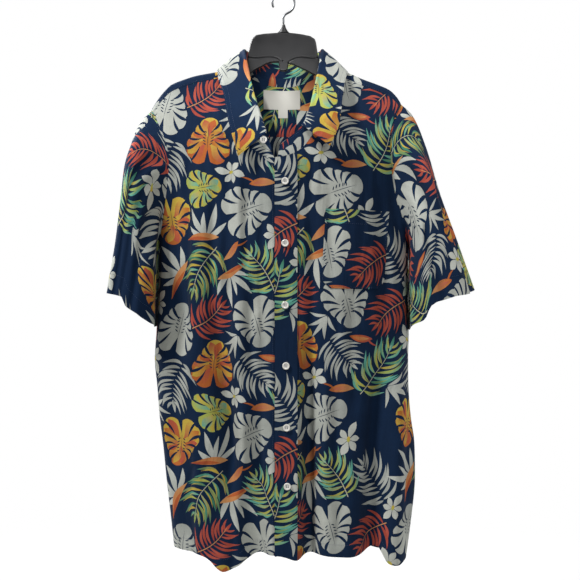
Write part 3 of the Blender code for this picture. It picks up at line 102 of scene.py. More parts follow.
BUTTON_X = (2.8, 2.8, 2.9, 4.2, 5.2, 6.2)
POCKET = ((65.5, -350.5), (166.0, -353.5), (158.5, -463.0), (146.0, -475.5),
          (72.0, -473.5), (58.8, -461.0))
print("front band is", round(BAND_RIGHT - BAND_LEFT, 1), "mm wide")

# %% Level sections of the body
# level sections: z, half width left, half width right, depth front, depth back,
# extra fullness in front of the collar, extra fullness behind it
SECTION = (
    (-119, 56, 56, 6, 6, 0, 0),
    (-123, 79, 81, 8, 7.5, 0, 8),
    (-127, 103, 98.6, 9, 8.3, 5, 18),
    (-130, 121, 107, 10, 8.8, 9.5, 25),
    (-133.5, 140, 114.5, 10.7, 9.2, 13.5, 30.5),
    (-139, 158.5, 127, 11.5, 9.7, 19, 34),
    (-147, 178.7, 149, 13, 10.5, 26, 35),
    (-155, 188, 168, 15, 12, 31, 33.5),
    (-165, 196.5, 179.5, 18, 14, 35, 30.5),
    (-176, 204, 187, 23.5, 17, 34, 27.5),
    (-186, 210, 191, 28.5, 21, 32.5, 24.5),
    (-200, 213, 193.5, 35, 26, 30.5, 21),
    (-225, 212.5, 195.3, 44, 32, 26, 16),
    (-250, 211, 196.3, 50, 37, 20, 12),
    (-300, 207.5, 197.4, 57, 43, 11, 7),
    (-350, 203.5, 198.6, 60.5, 46, 6, 4),
    (-412, 199, 199.6, 63, 49, 4, 2),
    (-480, 200.5, 199, 64, 50, 2, 1),
    (-545, 203.5, 200.5, 63.5, 51, 1, 0),
    (-585, 206, 199.5, 63, 51.5, 0, 0),
    (-630, 202, 200, 62.5, 52, 0, 0),
    (-680, 198, 204, 62, 52, 0, 0),
    (-720, 193, 209.5, 61.5, 52, 0, 0),
    (-775, 187.5, 210.5, 61, 52, 0, 0),
    (-840, 180, 204.5, 60, 52, 0, 0),
    (-920, 171.5, 193.5, 59, 52, 0, 0),
)
print(len(SECTION), "level sections")

# %% Hanging folds
# hanging folds: side (F front, B back), x and z at the top, middle and foot of the
# fold's line, height (out is +), half width at the top, half width at the foot
FOLDS = (
    ("F", -170, -215, -173, -300, -181, -400, -7, 12, 12),
    ("F", -84, -225, -86, -400, -90, -560, -5, 8, 10),
    ("F", -68, -215, -70, -390, -66, -600, 6, 10, 13),
    ("F", -133, -330, -134, -460, -138, -600, 7, 14, 18),
    ("F", -168, -430, -170, -540, -173, -760, -6, 12, 14),
    ("F", -106, -470, -92, -648, -40, -893, -14, 11, 20),
    ("F", -137, -640, -134, -760, -120, -900, 9, 16, 22),
    ("F", -60, -610, -70, -760, -92, -905, 9, 12, 17),
    ("F", -31, -470, -30, -560, -27, -640, -3, 7, 9),
    ("F", 43, -262, 42, -400, 41, -520, -3.5, 8, 10),
    ("F", 38, -520, 40, -690, 42, -893, -13, 11, 15),
    ("F", 68, -560, 66, -720, 72, -893, 7, 12, 16),
    ("F", 104, -250, 100, -420, 104, -640, 4, 16, 20),
    ("F", 174, -235, 176, -320, 186, -400, -7, 11, 11),
    ("F", 150, -560, 144, -720, 140, -893, -11, 12, 16),
    ("F", 176, -560, 177, -720, 172, -893, 13, 11, 15),
    ("F", 102, -640, 104, -780, 102, -893, 5, 12, 18),
    ("B", -168, -260, -172, -330, -182, -405, -6, 12, 12),
    ("B", 166, -262, 172, -340, 184, -405, -6, 12, 12),
    ("B", -134, -300, -138, -560, -128, -893, 8, 13, 19),
    ("B", -98, -360, -102, -620, -92, -893, -9, 12, 17),
    ("B", -58, -250, -62, -540, -60, -893, 8, 12, 18),
    ("B", -14, -330, -18, -600, -12, -893, -8, 14, 20),
    ("B", 28, -270, 24, -560, 30, -893, 9, 13, 16),
    ("B", 64, -420, 62, -640, 70, -893, -10, 11, 17),
    ("B", 102, -280, 98, -560, 108, -893, 9, 12, 18),
    ("B", 142, -440, 140, -660, 150, -893, -9, 12, 16),
    ("B", 174, -560, 178, -720, 176, -893, 8, 12, 14),
    ("B", -170, -600, -168, -740, -160, -893, -6, 12, 14),
)
print(len(FOLDS), "hanging folds")

# %% [markdown]
# The large folds are also in the solids. Cloth that has hung for a while shows smaller
# creases too: short soft troughs beside the seams, and slanting pulls near the hem. They
# are listed one by one, each with its own length, depth and width.

# %% Small creases
# side, x and z of both ends, height (out is +), half width
CREASES = (
    ("F", -132, -740, -153, -790, -2.6, 5),
    ("F", -30, -500, -34, -560, -1.6, 3.6),
    ("F", -25, -548, -27, -604, 1.5, 3.4),
    ("F", -46, -712, -26, -806, -3.4, 8),
    ("F", -150, -262, -156, -350, -1.8, 5),
    ("F", -112, -240, -108, -330, 1.6, 7),
    ("F", -176, -390, -164, -470, -2.2, 5.5),
    ("F", -186, -560, -182, -690, 1.8, 6),
    ("F", -104, -540, -100, -640, 1.9, 6.5),
    ("F", -52, -420, -50, -520, 1.6, 6),
    ("F", -160, -800, -150, -880, -2.4, 6.5),
    ("F", 30, -280, 33, -380, -1.5, 5),
    ("F", 56, -270, 52, -340, 1.8, 6.5),
    ("F", 54, -490, 56, -600, 1.8, 6),
    ("F", 82, -486, 86, -560, -1.7, 5.5),
    ("F", 120, -486, 126, -590, -1.9, 6),
    ("F", 146, -258, 150, -340, -1.7, 5),
    ("F", 168, -400, 158, -480, -2.3, 5.5),
    ("F", 186, -440, 190, -540, 1.9, 5),
    ("F", 124, -700, 128, -800, 2.2, 6),
    ("F", 88, -800, 84, -884, -2.4, 6),
    ("F", 158, -780, 160, -860, -3, 6),
    ("F", 196, -700, 194, -820, -2.2, 5),
    ("B", -150, -250, -154, -330, -1.8, 6),
    ("B", -112, -300, -116, -420, 1.9, 6),
    ("B", -76, -520, -80, -640, 1.8, 6),
    ("B", -36, -260, -38, -340, -2.2, 5),
    ("B", -38, -600, -34, -720, -2, 6),
    ("B", 8, -300, 6, -430, 1.6, 6),
    ("B", 48, -300, 46, -400, -1.9, 6),
    ("B", 84, -620, 88, -760, 2, 6.5),
    ("B", 126, -300, 122, -420, -1.8, 6),
    ("B", 158, -420, 160, -520, 1.9, 6),
    ("B", -152, -700, -148, -820, 2.3, 6.5),
    ("B", 126, -760, 130, -880, -2.6, 6.5),
    ("B", 46, -780, 50, -884, 2.4, 6.5),
    ("B", 4, -760, 8, -884, 2, 6.5),
)
print(len(CREASES), "small creases")

# %% Long drapes
# side, x and z of both ends, height, half width on the side of smaller and larger x
DRAPES = (
    ("F", -149, -205, -155, -640, -12, 30, 11),
    ("F", -106, -290, -108, -570, -6.5, 8, 8),
    ("F", -80, -420, -84, -640, -4.4, 5.5, 8),
    ("F", -54, -290, -56, -470, -3.6, 5, 8),
    ("F", -52, -450, -46, -640, -4.4, 5.5, 8),
    ("F", -30, -330, -33, -520, -2.8, 4, 6),
    ("F", -81, -520, -77, -1060, -12, 17, 9),
    ("F", -34, -560, -28, -1080, -13, 24, 8),
    ("F", -146, -620, -138, -1040, -6.5, 15, 10),
    ("F", 45, -530, 49, -1080, -12, 19, 9),
    ("F", 48, -340, 52, -620, -4.6, 6.5, 9),
    ("F", 74, -300, 78, -470, -2.8, 6, 8),
    ("F", 76, -560, 82, -800, -3, 6, 9),
    ("F", 108, -440, 112, -720, -5.2, 10, 10),
    ("F", 140, -600, 138, -1060, -6.5, 14, 12),
    ("F", 156, -240, 162, -580, -7.5, 12, 14),
    ("B", -146, -250, -150, -620, -9, 20, 11),
    ("B", -96, -280, -92, -560, -6, 8, 12),
    ("B", -58, -420, -62, -1040, -9.5, 12, 16),
    ("B", -14, -260, -10, -520, -5.5, 8, 10),
    ("B", 22, -520, 26, -1060, -10, 11, 17),
    ("B", 62, -270, 66, -560, -6, 9, 13),
    ("B", 100, -480, 96, -1040, -9.5, 12, 15),
    ("B", 150, -260, 154, -600, -8.5, 11, 20),
    ("B", 168, -640, 164, -1040, -6.5, 11, 12),
    ("B", -120, -640, -116, -1040, -7.5, 14, 10),
)
print(len(DRAPES), "long drapes")

# %% Hem and seam lines
# hem line of the fronts and of the back: x, z
HEM_FRONT = ((-215, -882), (-168, -885), (-145, -887), (-124, -889.5),
             (-112, -897), (-104, -906), (-92, -913.5), (-73, -907),
             (-56, -895), (-38, -888), (-8, -888), (4, -890.5),
             (20, -895), (32, -889.5), (55, -887), (104, -890.5),
             (126, -885.5), (142, -877.5), (150, -880.5), (157, -894),
             (164, -904), (180, -907), (190, -904), (225, -902))
HEM_BACK = ((-215, -882), (-168, -885), (-120, -890), (-60, -886),
            (0, -889), (60, -885), (120, -891), (170, -898),
            (192, -902), (225, -900))
# armhole seam: x, z from the shoulder down the front, and down the back
ARMHOLE = {
    -1: {"F": ((-210, -186), (-205.5, -196.5), (-197, -216), (-187, -238),
               (-182.5, -257), (-181, -280), (-183, -304.5), (-186.5, -335),
               (-191, -365), (-195.4, -388), (-198.2, -401), (-199.2, -409)),
         "B": ((-210, -186), (-204.5, -198), (-194, -216), (-183, -238),
               (-178, -257), (-177, -280), (-179.5, -304.5), (-184, -335),
               (-189.5, -365), (-195, -388), (-198.2, -401), (-199.2, -409))},
    1: {"F": ((187, -176), (184.5, -187), (178, -200), (171.5, -216),
              (168.5, -236), (168.6, -257), (170, -280), (173.5, -308),
              (181, -344), (188, -370), (194, -392), (198.3, -405),
              (199.6, -412)),
        "B": ((187, -176), (183, -187), (175, -200), (168, -216),
              (165, -236), (165.5, -257), (168, -280), (172.5, -308),
              (180, -344), (187.5, -370), (193.6, -392), (198.3, -405),
              (199.6, -412))},
}
# neck seam: x, z on the front from the shoulder to the centre, and round the back
NECK_FRONT = {
    -1: ((-69.5, -123), (-68.8, -145), (-65, -166), (-57.5, -192), (-50.5, -215),
         (-44, -235), (-36.5, -250), (-28, -258.5), (-18.5, -263)),
    1: ((69.5, -122.8), (68.8, -145), (66, -166), (60, -192), (53, -218),
        (43, -240), (30, -257), (15, -266.5), (0, -270.8), (-12.6, -272)),
}
NECK_BACK = ((-69.5, -123), (-58, -130.5), (-38, -138.5), (-18, -142.6), (0, -143.7),
             (18, -142.6), (38, -138.5), (58, -130.5), (69.5, -122.8))
# free centre edge of the right front, from the neck seam down: x, z
FREE_EDGE = ((-18.5, -263), (-11, -278), (-4, -289), (6, -303),
             (13, -322), (15.5, -345), (16, -380), (16, -889))
print("seam lines ready")

# %% Collar and sleeve tables
# collar roll line (top edge of the stand) from the right front's end round the back:
# x, y, z and the collar leaf's outer edge belonging to it
COLLAR = (
    # roll x, y, z,            leaf edge x, y, z,          share of the neck seam
    (-27, -68, -236, -68, -74, -272.5, 0.045),
    (-31.5, -67, -222, -74, -71, -251, 0.085),
    (-37.5, -63.5, -203, -80.5, -66, -228, 0.125),
    (-43, -57, -184, -86.5, -59, -205, 0.165),
    (-48.5, -48, -164, -92, -48, -175, 0.207),
    (-57, -26, -124, -103, -23, -141, 0.268),
    (-61.5, -5, -95, -106, 1, -122.5, 0.308),
    (-57.5, 20, -92, -98, 36, -135, 0.345),
    (-34, 39.5, -98.5, -56, 55, -150, 0.402),
    (0, 46, -102.5, 0, 61, -156, 0.470),
    (34, 39.5, -98.5, 56, 55, -150, 0.538),
    (57.5, 20, -92, 97, 36, -135, 0.595),
    (61, -5, -95, 103.5, 1, -127, 0.633),
    (56.5, -26, -124, 98.5, -23, -141, 0.674),
    (49.5, -45, -162, 92, -46, -174, 0.735),
    (43.5, -57, -190, 88, -59, -203, 0.790),
    (37.5, -64.5, -211, 83, -67, -229, 0.838),
    (30, -68.5, -225, 70, -75, -257.5, 0.876),
    (20, -70.5, -233.5, 0, 0, 0, 0.905),
    (8, -71.5, -243, 0, 0, 0, 0.940),
    (-5.5, -72, -254.5, 0, 0, 0, 0.985),
)
LEAF_ROWS = (0, 17)     # the leaf runs between these rows of COLLAR
ROLL_R = 2.8            # outer radius where the leaf turns over the stand
LEAF_BULGE = 1.5
# sleeves: share of the length, outer x, z, inner x, z, depth front, depth back,
# how far the deepest points lie from the outer line towards the inner one
SLEEVE = {
    -1: ((0.00, -210, -186, -199.2, -409, 44, 36, 0.50),
         (0.16, -235, -207, -202.3, -430, 56, 46, 0.50),
         (0.34, -246, -251, -203.8, -454, 66, 56, 0.48),
         (0.55, -254.5, -318, -204.6, -481, 72, 62, 0.46),
         (0.78, -263.5, -398, -205.3, -509, 76, 66, 0.44),
         (1.00, -277, -483, -206, -535, 78, 68, 0.44)),
    1: ((0.00, 187, -176, 199.6, -412, 44, 36, 0.50),
        (0.16, 213.5, -199, 201.8, -434, 56, 46, 0.50),
        (0.34, 228.5, -249, 202.5, -458, 66, 56, 0.48),
        (0.55, 248.5, -320, 202.6, -485, 72, 62, 0.46),
        (0.78, 273.5, -390, 202.4, -512, 76, 66, 0.44),
        (1.00, 304, -476, 202, -540, 78, 68, 0.44)),
}
# how far the hem of each sleeve is drawn up: share round the sleeve, rise
HEM_RISE = {
    -1: ((0.00, 0), (0.08, 4), (0.15, 9), (0.185, 12), (0.245, 18), (0.265, 7.5),
         (0.325, 8), (0.375, 0), (0.50, 0)),
    1: ((0.00, 0), (0.08, 1.5), (0.15, 4.7), (0.20, 9.8), (0.25, 16.8), (0.31, 24),
        (0.335, 22), (0.348, 8), (0.36, 5), (0.40, 5), (0.47, 2), (0.50, 0)),
}
SLEEVE_HUG = 7      # the sleeve reaches this far in front of and behind the body's side
# sleeve folds: sleeve, share round the sleeve from the shoulder line (front +) at
# the armhole and at the hem, height, half width as a share, start and full share
SLEEVE_FOLDS = (
    (-1, 0.17, 0.15, 6, 0.030, 0.10, 0.45),
    (-1, 0.25, 0.24, -6, 0.026, 0.08, 0.40),
    (-1, 0.33, 0.33, 5, 0.030, 0.15, 0.60),
    (-1, -0.16, -0.18, 6, 0.030, 0.15, 0.60),
    (-1, -0.27, -0.28, -6, 0.034, 0.10, 0.50),
    (1, 0.16, 0.19, 6, 0.030, 0.10, 0.45),
    (1, 0.24, 0.27, -6, 0.028, 0.08, 0.40),
    (1, 0.10, 0.10, -4, 0.026, 0.20, 0.60),
    (1, 0.34, 0.35, 4, 0.030, 0.15, 0.60),
    (1, -0.15, -0.17, 6, 0.032, 0.15, 0.60),
    (1, -0.26, -0.28, -6, 0.034, 0.10, 0.50),
)
print(len(COLLAR), "places along the collar")


# %% Smooth lines
def spline(xs, ys):
    """Smooth curve through the points, xs rising; gives a function of x."""
    xs = np.asarray(xs, float)
    ys = np.asarray(ys, float)
    step = np.diff(xs)
    slope = np.diff(ys) / step
    tangent = np.zeros_like(ys)
    tangent[0] = slope[0]
    tangent[-1] = slope[-1]
    same = slope[:-1] * slope[1:] > 0
    mean = (slope[:-1] * step[1:] + slope[1:] * step[:-1]) / (step[:-1] + step[1:])
    limit = 3.0 * np.minimum(np.abs(slope[:-1]), np.abs(slope[1:]))
    tangent[1:-1] = np.where(same, np.sign(mean) * np.minimum(np.abs(mean), limit), 0.0)

    def value(x):
        x = np.clip(np.asarray(x, float), xs[0], xs[-1])
        i = np.clip(np.searchsorted(xs, x, side="right") - 1, 0, len(xs) - 2)
        h = step[i]
        t = (x - xs[i]) / h
        a = (1 + 2 * t) * (1 - t) ** 2
        b = t * (1 - t) ** 2
        c = t * t * (3 - 2 * t)
        d = t * t * (t - 1)
        return a * ys[i] + b * h * tangent[i] + c * ys[i + 1] + d * h * tangent[i + 1]
    return value


def curve(points, count=None, step=None):
    """Even points along a smooth curve through the given ones."""
    p = np.asarray(points, float)
    ext = np.vstack([2 * p[0] - p[1], p, 2 * p[-1] - p[-2]])
    t = np.linspace(0, 1, 24, endpoint=False)[:, None]
    out = []
    for i in range(1, len(ext) - 2):
        p0, p1, p2, p3 = ext[i - 1:i + 3]
        l1 = np.linalg.norm(p2 - p1)
        m1 = (p2 - p0) / (np.linalg.norm(p1 - p0) + l1) * l1
        m2 = (p3 - p1) / (np.linalg.norm(p3 - p2) + l1) * l1
        out.append((2 * t ** 3 - 3 * t ** 2 + 1) * p1 + (t ** 3 - 2 * t ** 2 + t) * m1
                   + (3 * t ** 2 - 2 * t ** 3) * p2 + (t ** 3 - t ** 2) * m2)
    return even(np.vstack(out + [p[-1:]]), count, step)


print("smooth lines ready")


# %% Lengths and directions
def run_of(line):
    """Length along the line at each of its points."""
    return np.concatenate([[0], np.cumsum(np.linalg.norm(np.diff(line, axis=0), axis=1))])


def columns(at, run, table):
    """Every column of the table at other runs."""
    return np.column_stack([np.interp(at, run, table[:, k]) for k in range(table.shape[1])])


def even(line, count=None, step=None):
    """The same line with evenly spaced points."""
    line = np.asarray(line, float)
    run = run_of(line)
    if count is None:
        count = max(1, int(math.ceil(run[-1] / step)))
    return columns(np.linspace(0, run[-1], count + 1), run, line)


def straight(start, end, step):
    """Even points on a straight line."""
    return even(np.array([start, end]), step=step)


def circle(count):
    """Evenly spaced angles once round."""
    return np.arange(count) * 2 * math.pi / count


def unit(v):
    """Vectors of length 1 in the same directions."""
    v = np.asarray(v, float)
    return v / np.maximum(np.linalg.norm(v, axis=-1, keepdims=True), 1e-12)


def ease(t):
    """Soft step from 0 to 1."""
    t = np.clip(t, 0.0, 1.0)
    return t * t * (3 - 2 * t)


print("line helpers ready")


# %% The body's level sections with their folds
SECTION_ROWS = np.array(SECTION)[::-1]
SECTION_NAMES = ("left", "right", "front", "back", "full_front", "full_back")
TABLE = {name: spline(SECTION_ROWS[:, 0], SECTION_ROWS[:, 1 + k])
         for k, name in enumerate(SECTION_NAMES)}
Z_ROWS = np.arange(-916.0, -119.0 + 0.01, ROW_STEP)


def ridge_z(x):
    """Level of the shoulder ridge over a distance x from the middle."""
    z = np.linspace(-212.0, -119.0, 800)
    left = TABLE["left"](z)
    right = TABLE["right"](z)
    x = np.asarray(x, float)
    zl = np.interp(-x, left[::-1], z[::-1])
    zr = np.interp(x, right[::-1], z[::-1])
    return np.where(x < 0, zl, zr)


def full_depth(x, z, front):
    """Depth of a level section at its middle, with the fullness at the collar."""
    side, spread = ("front", SPREAD_FRONT) if front else ("back", SPREAD_BACK)
    return TABLE[side](z) + TABLE["full_" + side](z) * np.exp(-(x / spread) ** 2)


def section_depth(x, z, front):
    """Distance of the plain body surface from the middle plane, before the folds."""
    half = np.where(x < 0, TABLE["left"](z), TABLE["right"](z))
    rest = np.clip(1 - (np.abs(x) / half) ** SECTION_POWER, 0, 1) ** (1 / SECTION_POWER)
    return full_depth(x, z, front) * rest


print("body is %.0f mm wide at the chest"
      % float(TABLE["left"](-300.0) + TABLE["right"](-300.0)))


# %% Heights of folds and creases
def fold_height(x, z, front):
    """Sum of the folds at (x, z) on one side of the body."""
    total = np.zeros_like(x)
    for side, x0, z0, x1, z1, x2, z2, high, w0, w2 in FOLDS:
        if (side == "F") != front:
            continue
        run = np.clip((z0 - z) / (z0 - z2), 0, 1)
        mid = (z0 - z1) / (z0 - z2)
        line = (x0 * (run - mid) * (run - 1) / mid
                + x1 * run * (run - 1) / (mid * (mid - 1))
                + x2 * run * (run - mid) / (1 - mid))
        width = w0 + (w2 - w0) * run
        grow = ease((z0 + 10.0 - z) / 110.0)
        if z2 > HEM_TOP:
            grow = grow * ease((z - z2 + 50.0) / 90.0)
        total = total + high * grow * np.exp(-((x - line) / width) ** 2)
    if front:
        total = total * ease((np.abs(x - BAND_MIDDLE) - BAND_CLEAR) / 14.0)
    return total


def crease_height(x, z, front):
    """Sum of the creases and drapes at (x, z) on one side of the body."""
    total = np.zeros_like(x)
    for face, x0, z0, x1, z1, high, *half in CREASES + DRAPES:
        if (face == "F") != front:
            continue
        way = np.array((x1 - x0, z1 - z0))
        size = np.hypot(*way)
        t = ((x - x0) * way[0] + (z - z0) * way[1]) / size ** 2
        off = ((x - x0) * way[1] - (z - z0) * way[0]) / size
        bow = off - min(0.03 * size, 3.5) * np.sin(math.pi * np.clip(t, 0, 1))
        ends = ease(np.clip(t, 0, 1) / 0.35) * ease(np.clip(1 - t, 0, 1) / 0.35)
        wide = np.where(bow > 0, half[0], half[-1])
        total = total + high * ends * np.exp(-(bow / wide) ** 2)
    if front:
        total = total * ease((np.abs(x - BAND_MIDDLE) - BAND_CLEAR) / 8.0)
    return total


print(len(FOLDS), "folds laid on the body")


# %% Points and facing of the whole body
def body_ring():
    """Level sections of the whole body with folds and creases, rows x steps."""
    angle = np.linspace(-math.pi, math.pi, RING_STEPS + 1)
    s = np.sin(angle)
    c = np.cos(angle)
    sx = np.sign(s) * np.abs(s) ** (2 / SECTION_POWER)
    cy = np.sign(c) * np.abs(c) ** (2 / SECTION_POWER)
    z = Z_ROWS[:, None]
    x = np.where(s < 0, TABLE["left"](z), TABLE["right"](z)) * sx
    y = -np.where(c > 0, full_depth(x, z, True), full_depth(x, z, False)) * cy
    dx = np.gradient(x, axis=1)
    dy = np.gradient(y, axis=1)
    dx[:, 0] = dx[:, -1] = x[:, 1] - x[:, -2]
    dy[:, 0] = dy[:, -1] = y[:, 1] - y[:, -2]
    size = np.maximum(np.hypot(dx, dy), 1e-9)
    nx = dy / size
    ny = -dx / size
    zz = np.broadcast_to(z, x.shape)
    side = ease(np.abs(cy) / 0.42)
    high = np.where(c > 0, fold_height(x, zz, True) + crease_height(x, zz, True),
                    fold_height(x, zz, False) + crease_height(x, zz, False)) * side
    return np.dstack([x + nx * high, y + ny * high, zz])


def surface_normals(grid):
    """Facing at each point of a grid of rows."""
    return unit(np.cross(np.gradient(grid, axis=1), np.gradient(grid, axis=0)))


print("rings of", RING_STEPS, "points")


# %% Charts that turn a flat place into a place on the body
def between_lines(runs, data, line, run):
    """Values at fractional line numbers and runs along those lines."""
    low = line.astype(int)
    part = line - low
    out = np.zeros((len(run), 3))
    for n in np.unique(low):
        m = low == n
        for k in range(3):
            a = np.interp(run[m], runs[n], data[n, :, k])
            b = np.interp(run[m], runs[n + 1], data[n + 1, :, k])
            out[m, k] = a * (1 - part[m]) + b * part[m]
    return out


class Chart:
    """Lookup of one side of the body by (run along the level section, z)."""

    def __init__(self, grid, normal, middle):
        step = np.linalg.norm(np.diff(grid[:, :, :2], axis=1), axis=2)
        run = np.concatenate([np.zeros((len(grid), 1)), np.cumsum(step, axis=1)], axis=1)
        self.run = run - run[:, middle:middle + 1]
        self.grid = grid
        self.normal = normal
        self.middle = middle

    def at(self, run, z):
        """Points and facings at the runs and levels."""
        line = np.clip((z - Z_ROWS[0]) / ROW_STEP, 0, len(Z_ROWS) - 1.001)
        return (between_lines(self.run, self.grid, line, run),
                unit(between_lines(self.run, self.normal, line, run)))

    def run_at(self, x, z):
        """Run of the points (x, z) on this side."""
        out = np.zeros(len(x))
        quarter = RING_STEPS // 4
        lo, hi = self.middle - quarter, self.middle + quarter + 1
        flip = 1 if self.grid[-1, hi - 1, 0] > self.grid[-1, lo, 0] else -1
        for i, (xi, zi) in enumerate(zip(x, z)):
            row = min(max((zi - Z_ROWS[0]) / ROW_STEP, 0), len(Z_ROWS) - 1.001)
            r = int(row)
            t = row - r
            xs = self.grid[r, lo:hi, 0] * (1 - t) + self.grid[r + 1, lo:hi, 0] * t
            ps = self.run[r, lo:hi] * (1 - t) + self.run[r + 1, lo:hi] * t
            out[i] = np.interp(flip * xi, np.maximum.accumulate(flip * xs), ps)
        return out

    def side_run(self, z, sign):
        """Run of the side seam at the levels z; sign +1 for the end with higher runs."""
        quarter = RING_STEPS // 4
        return np.interp(z, Z_ROWS, self.run[:, self.middle + sign * quarter])


def make_charts():
    """Charts of the front and the back, which share the body's ring."""
    ring = body_ring()
    wide = np.concatenate([ring[:, :-1], ring], axis=1)
    normal = surface_normals(wide)
    reach = RING_STEPS // 4 + 30          # a little past the side seam
    charts = []
    for middle in (RING_STEPS // 2, RING_STEPS):
        part = slice(middle - reach, middle + reach + 1)
        charts.append(Chart(wide[:, part], normal[:, part], reach))
    return charts


FRONT, BACK = make_charts()
print("front and back charts ready")


# %% The yoke's chart
class YokeChart:
    """Lookup of the yoke by (x, run across the ridge: 0 on it, front +, back -)."""
    RIDGE = 89                            # index of the ridge in every line

    def __init__(self):
        self.xs = np.arange(-212.0, 194.01, 2.0)
        behind = (1 - np.linspace(0, 1, self.RIDGE + 1)) ** 2
        before = 22.0 * np.linspace(0, 1, 40)[1:] ** 2
        grid = []
        for x in self.xs:
            top = float(ridge_z(x))
            zb = top - (top - YOKE_BACK_Z) * behind
            yb = section_depth(np.full_like(zb, x), zb, False)
            zf = top - before
            yf = -section_depth(np.full_like(zf, x), zf, True)
            grid.append(np.column_stack([np.full(len(zb) + len(zf), x),
                                         np.concatenate([yb, yf]),
                                         np.concatenate([zb, zf])]))
        self.grid = np.array(grid)
        seg = np.linalg.norm(np.diff(self.grid, axis=1), axis=2)
        run = np.concatenate([np.zeros((len(grid), 1)), np.cumsum(seg, axis=1)], axis=1)
        self.run = run - run[:, self.RIDGE:self.RIDGE + 1]
        self.normal = np.swapaxes(-surface_normals(np.swapaxes(self.grid, 0, 1)), 0, 1)

    def at(self, x, run):
        """Points and facings at x and the runs across the ridge."""
        line = np.clip((x - self.xs[0]) / 2.0, 0, len(self.xs) - 1.001)
        return (between_lines(self.run, self.grid, line, run),
                unit(between_lines(self.run, self.normal, line, run)))

    def run_at(self, x, z, front):
        """Run of the points (x, z) on the yoke's front or back part."""
        out = np.zeros(len(x))
        part = slice(self.RIDGE, None) if front else slice(0, self.RIDGE + 1)
        sign = -1 if front else 1
        for i, (xi, zi) in enumerate(zip(x, z)):
            col = min(max((xi - self.xs[0]) / 2.0, 0), len(self.xs) - 1.001)
            c = int(col)
            t = col - c
            near, far = (np.interp(sign * zi, sign * self.grid[cc, part, 2],
                                   self.run[cc, part]) for cc in (c, c + 1))
            out[i] = near * (1 - t) + far * t
        return out


YOKE = YokeChart()
print("yoke chart of", len(YOKE.xs), "lines")


# %% Seam lines on the charts
def armhole_line(side, face):
    """The armhole seam down one face, from the shoulder."""
    return curve(ARMHOLE[side][face], step=1.0)


def yoke_cross(side):
    """Where the yoke's front seam and back seam meet the armhole: indices."""
    front, back = armhole_line(side, "F"), armhole_line(side, "B")
    drop = ridge_z(front[:, 0]) - front[:, 1]
    return int(np.argmax(drop > YOKE_DROP)), int(np.argmax(back[:, 1] < YOKE_BACK_Z))


def armhole_parts(side, step):
    """Armhole points: on the front, over the yoke to front and back, on the back."""
    front, back = armhole_line(side, "F"), armhole_line(side, "B")
    i, j = yoke_cross(side)
    return (even(front[i:], step=step), even(front[:i + 1][::-1], step=step * 0.6),
            even(back[:j + 1], step=step), even(back[j:], step=step))


def yoke_front_seam(side, step):
    """The yoke's front seam from the neck to the armhole, the neck seam and its index."""
    neck = curve(NECK_FRONT[side], step=0.5)
    drop = ridge_z(neck[:, 0]) - neck[:, 1]
    k = int(np.argmax(drop > YOKE_DROP))
    arm = armhole_line(side, "F")[yoke_cross(side)[0]]
    xs = np.linspace(neck[k, 0], arm[0], 60)
    line = np.column_stack([xs, ridge_z(xs) - YOKE_DROP])
    line[0] = neck[k]
    line[-1] = arm
    return even(line, step=step), neck, k


print("seam lines ready")


# %% Hems, sides and edges of a cut
def hem_line(table, x0, x1, step):
    """Points (x, z) of a hem between two places."""
    f = spline([p[0] for p in table], [p[1] for p in table])
    xs = np.linspace(x0, x1, max(2, int(abs(x1 - x0) / step)) + 1)
    return np.column_stack([xs, f(xs)])


def side_x(side, z):
    """x of the side seam at a level."""
    return -TABLE["left"](z) if side < 0 else TABLE["right"](z)


def to_runs(chart, line):
    """(x, z) points of a body panel as (run, z)."""
    return np.column_stack([chart.run_at(*line.T), line[:, 1]])


def to_yoke(line, front):
    """(x, z) points of the yoke's front or back part as (x, run)."""
    return np.column_stack([line[:, 0], YOKE.run_at(*line.T, front)])


def shrink(outline, amount):
    """The whole outline moved inwards by amount, corners kept."""
    area = 0.5 * np.sum(outline[:, 0] * np.roll(outline[:, 1], -1)
                        - np.roll(outline[:, 0], -1) * outline[:, 1])
    sign = 1 if area > 0 else -1
    prev = unit(outline - np.roll(outline, 1, axis=0))
    nxt = unit(np.roll(outline, -1, axis=0) - outline)
    n0 = np.column_stack([-prev[:, 1], prev[:, 0]]) * sign
    n1 = np.column_stack([-nxt[:, 1], nxt[:, 0]]) * sign
    mid = unit(n0 + n1)
    scale = 1 / np.maximum((mid * n0).sum(1), 0.5)
    return outline + mid * (amount * scale)[:, None]


def join(*lines):
    """One closed outline from lines that meet end to end."""
    out = [lines[0]]
    for line in lines[1:]:
        meets = np.linalg.norm(out[-1][-1] - line[0]) < 0.6
        out.append(line[1:] if meets else line)
    loop = np.vstack(out)
    return loop[:-1] if np.linalg.norm(loop[0] - loop[-1]) < 0.6 else loop


print("seam helpers ready")


# %% Outlines of the body panels
def front_outline(side, step):
    """Outline of one front in (run, z)."""
    part_front = armhole_parts(side, step)[0]
    seam, neck, k = yoke_front_seam(side, step)
    if side < 0:
        centre = curve(FREE_EDGE[:-1], step=step)
        centre = np.vstack([centre, straight((16.0, -380.0), (16.0, -892.0), step * 2)[1:]])
    else:
        centre = straight(NECK_FRONT[1][-1], (-12.6, -889.3), step * 2)
    hem = hem_line(HEM_FRONT, centre[-1, 0], side_x(side, HEM_SIDE), step)
    hem[0] = centre[-1]
    side_z = straight((0.0, hem[-1, 1]), (0.0, part_front[-1, 1]), step * 2)[:, 1]
    side_pts = np.column_stack([FRONT.side_run(side_z, side), side_z])
    arm = to_runs(FRONT, part_front)
    hem = to_runs(FRONT, hem)
    hem[-1] = side_pts[0]
    arm[-1] = side_pts[-1]
    return join(to_runs(FRONT, even(neck[k:], step=step)), to_runs(FRONT, centre), hem,
                side_pts, arm[::-1], to_runs(FRONT, seam)[::-1])


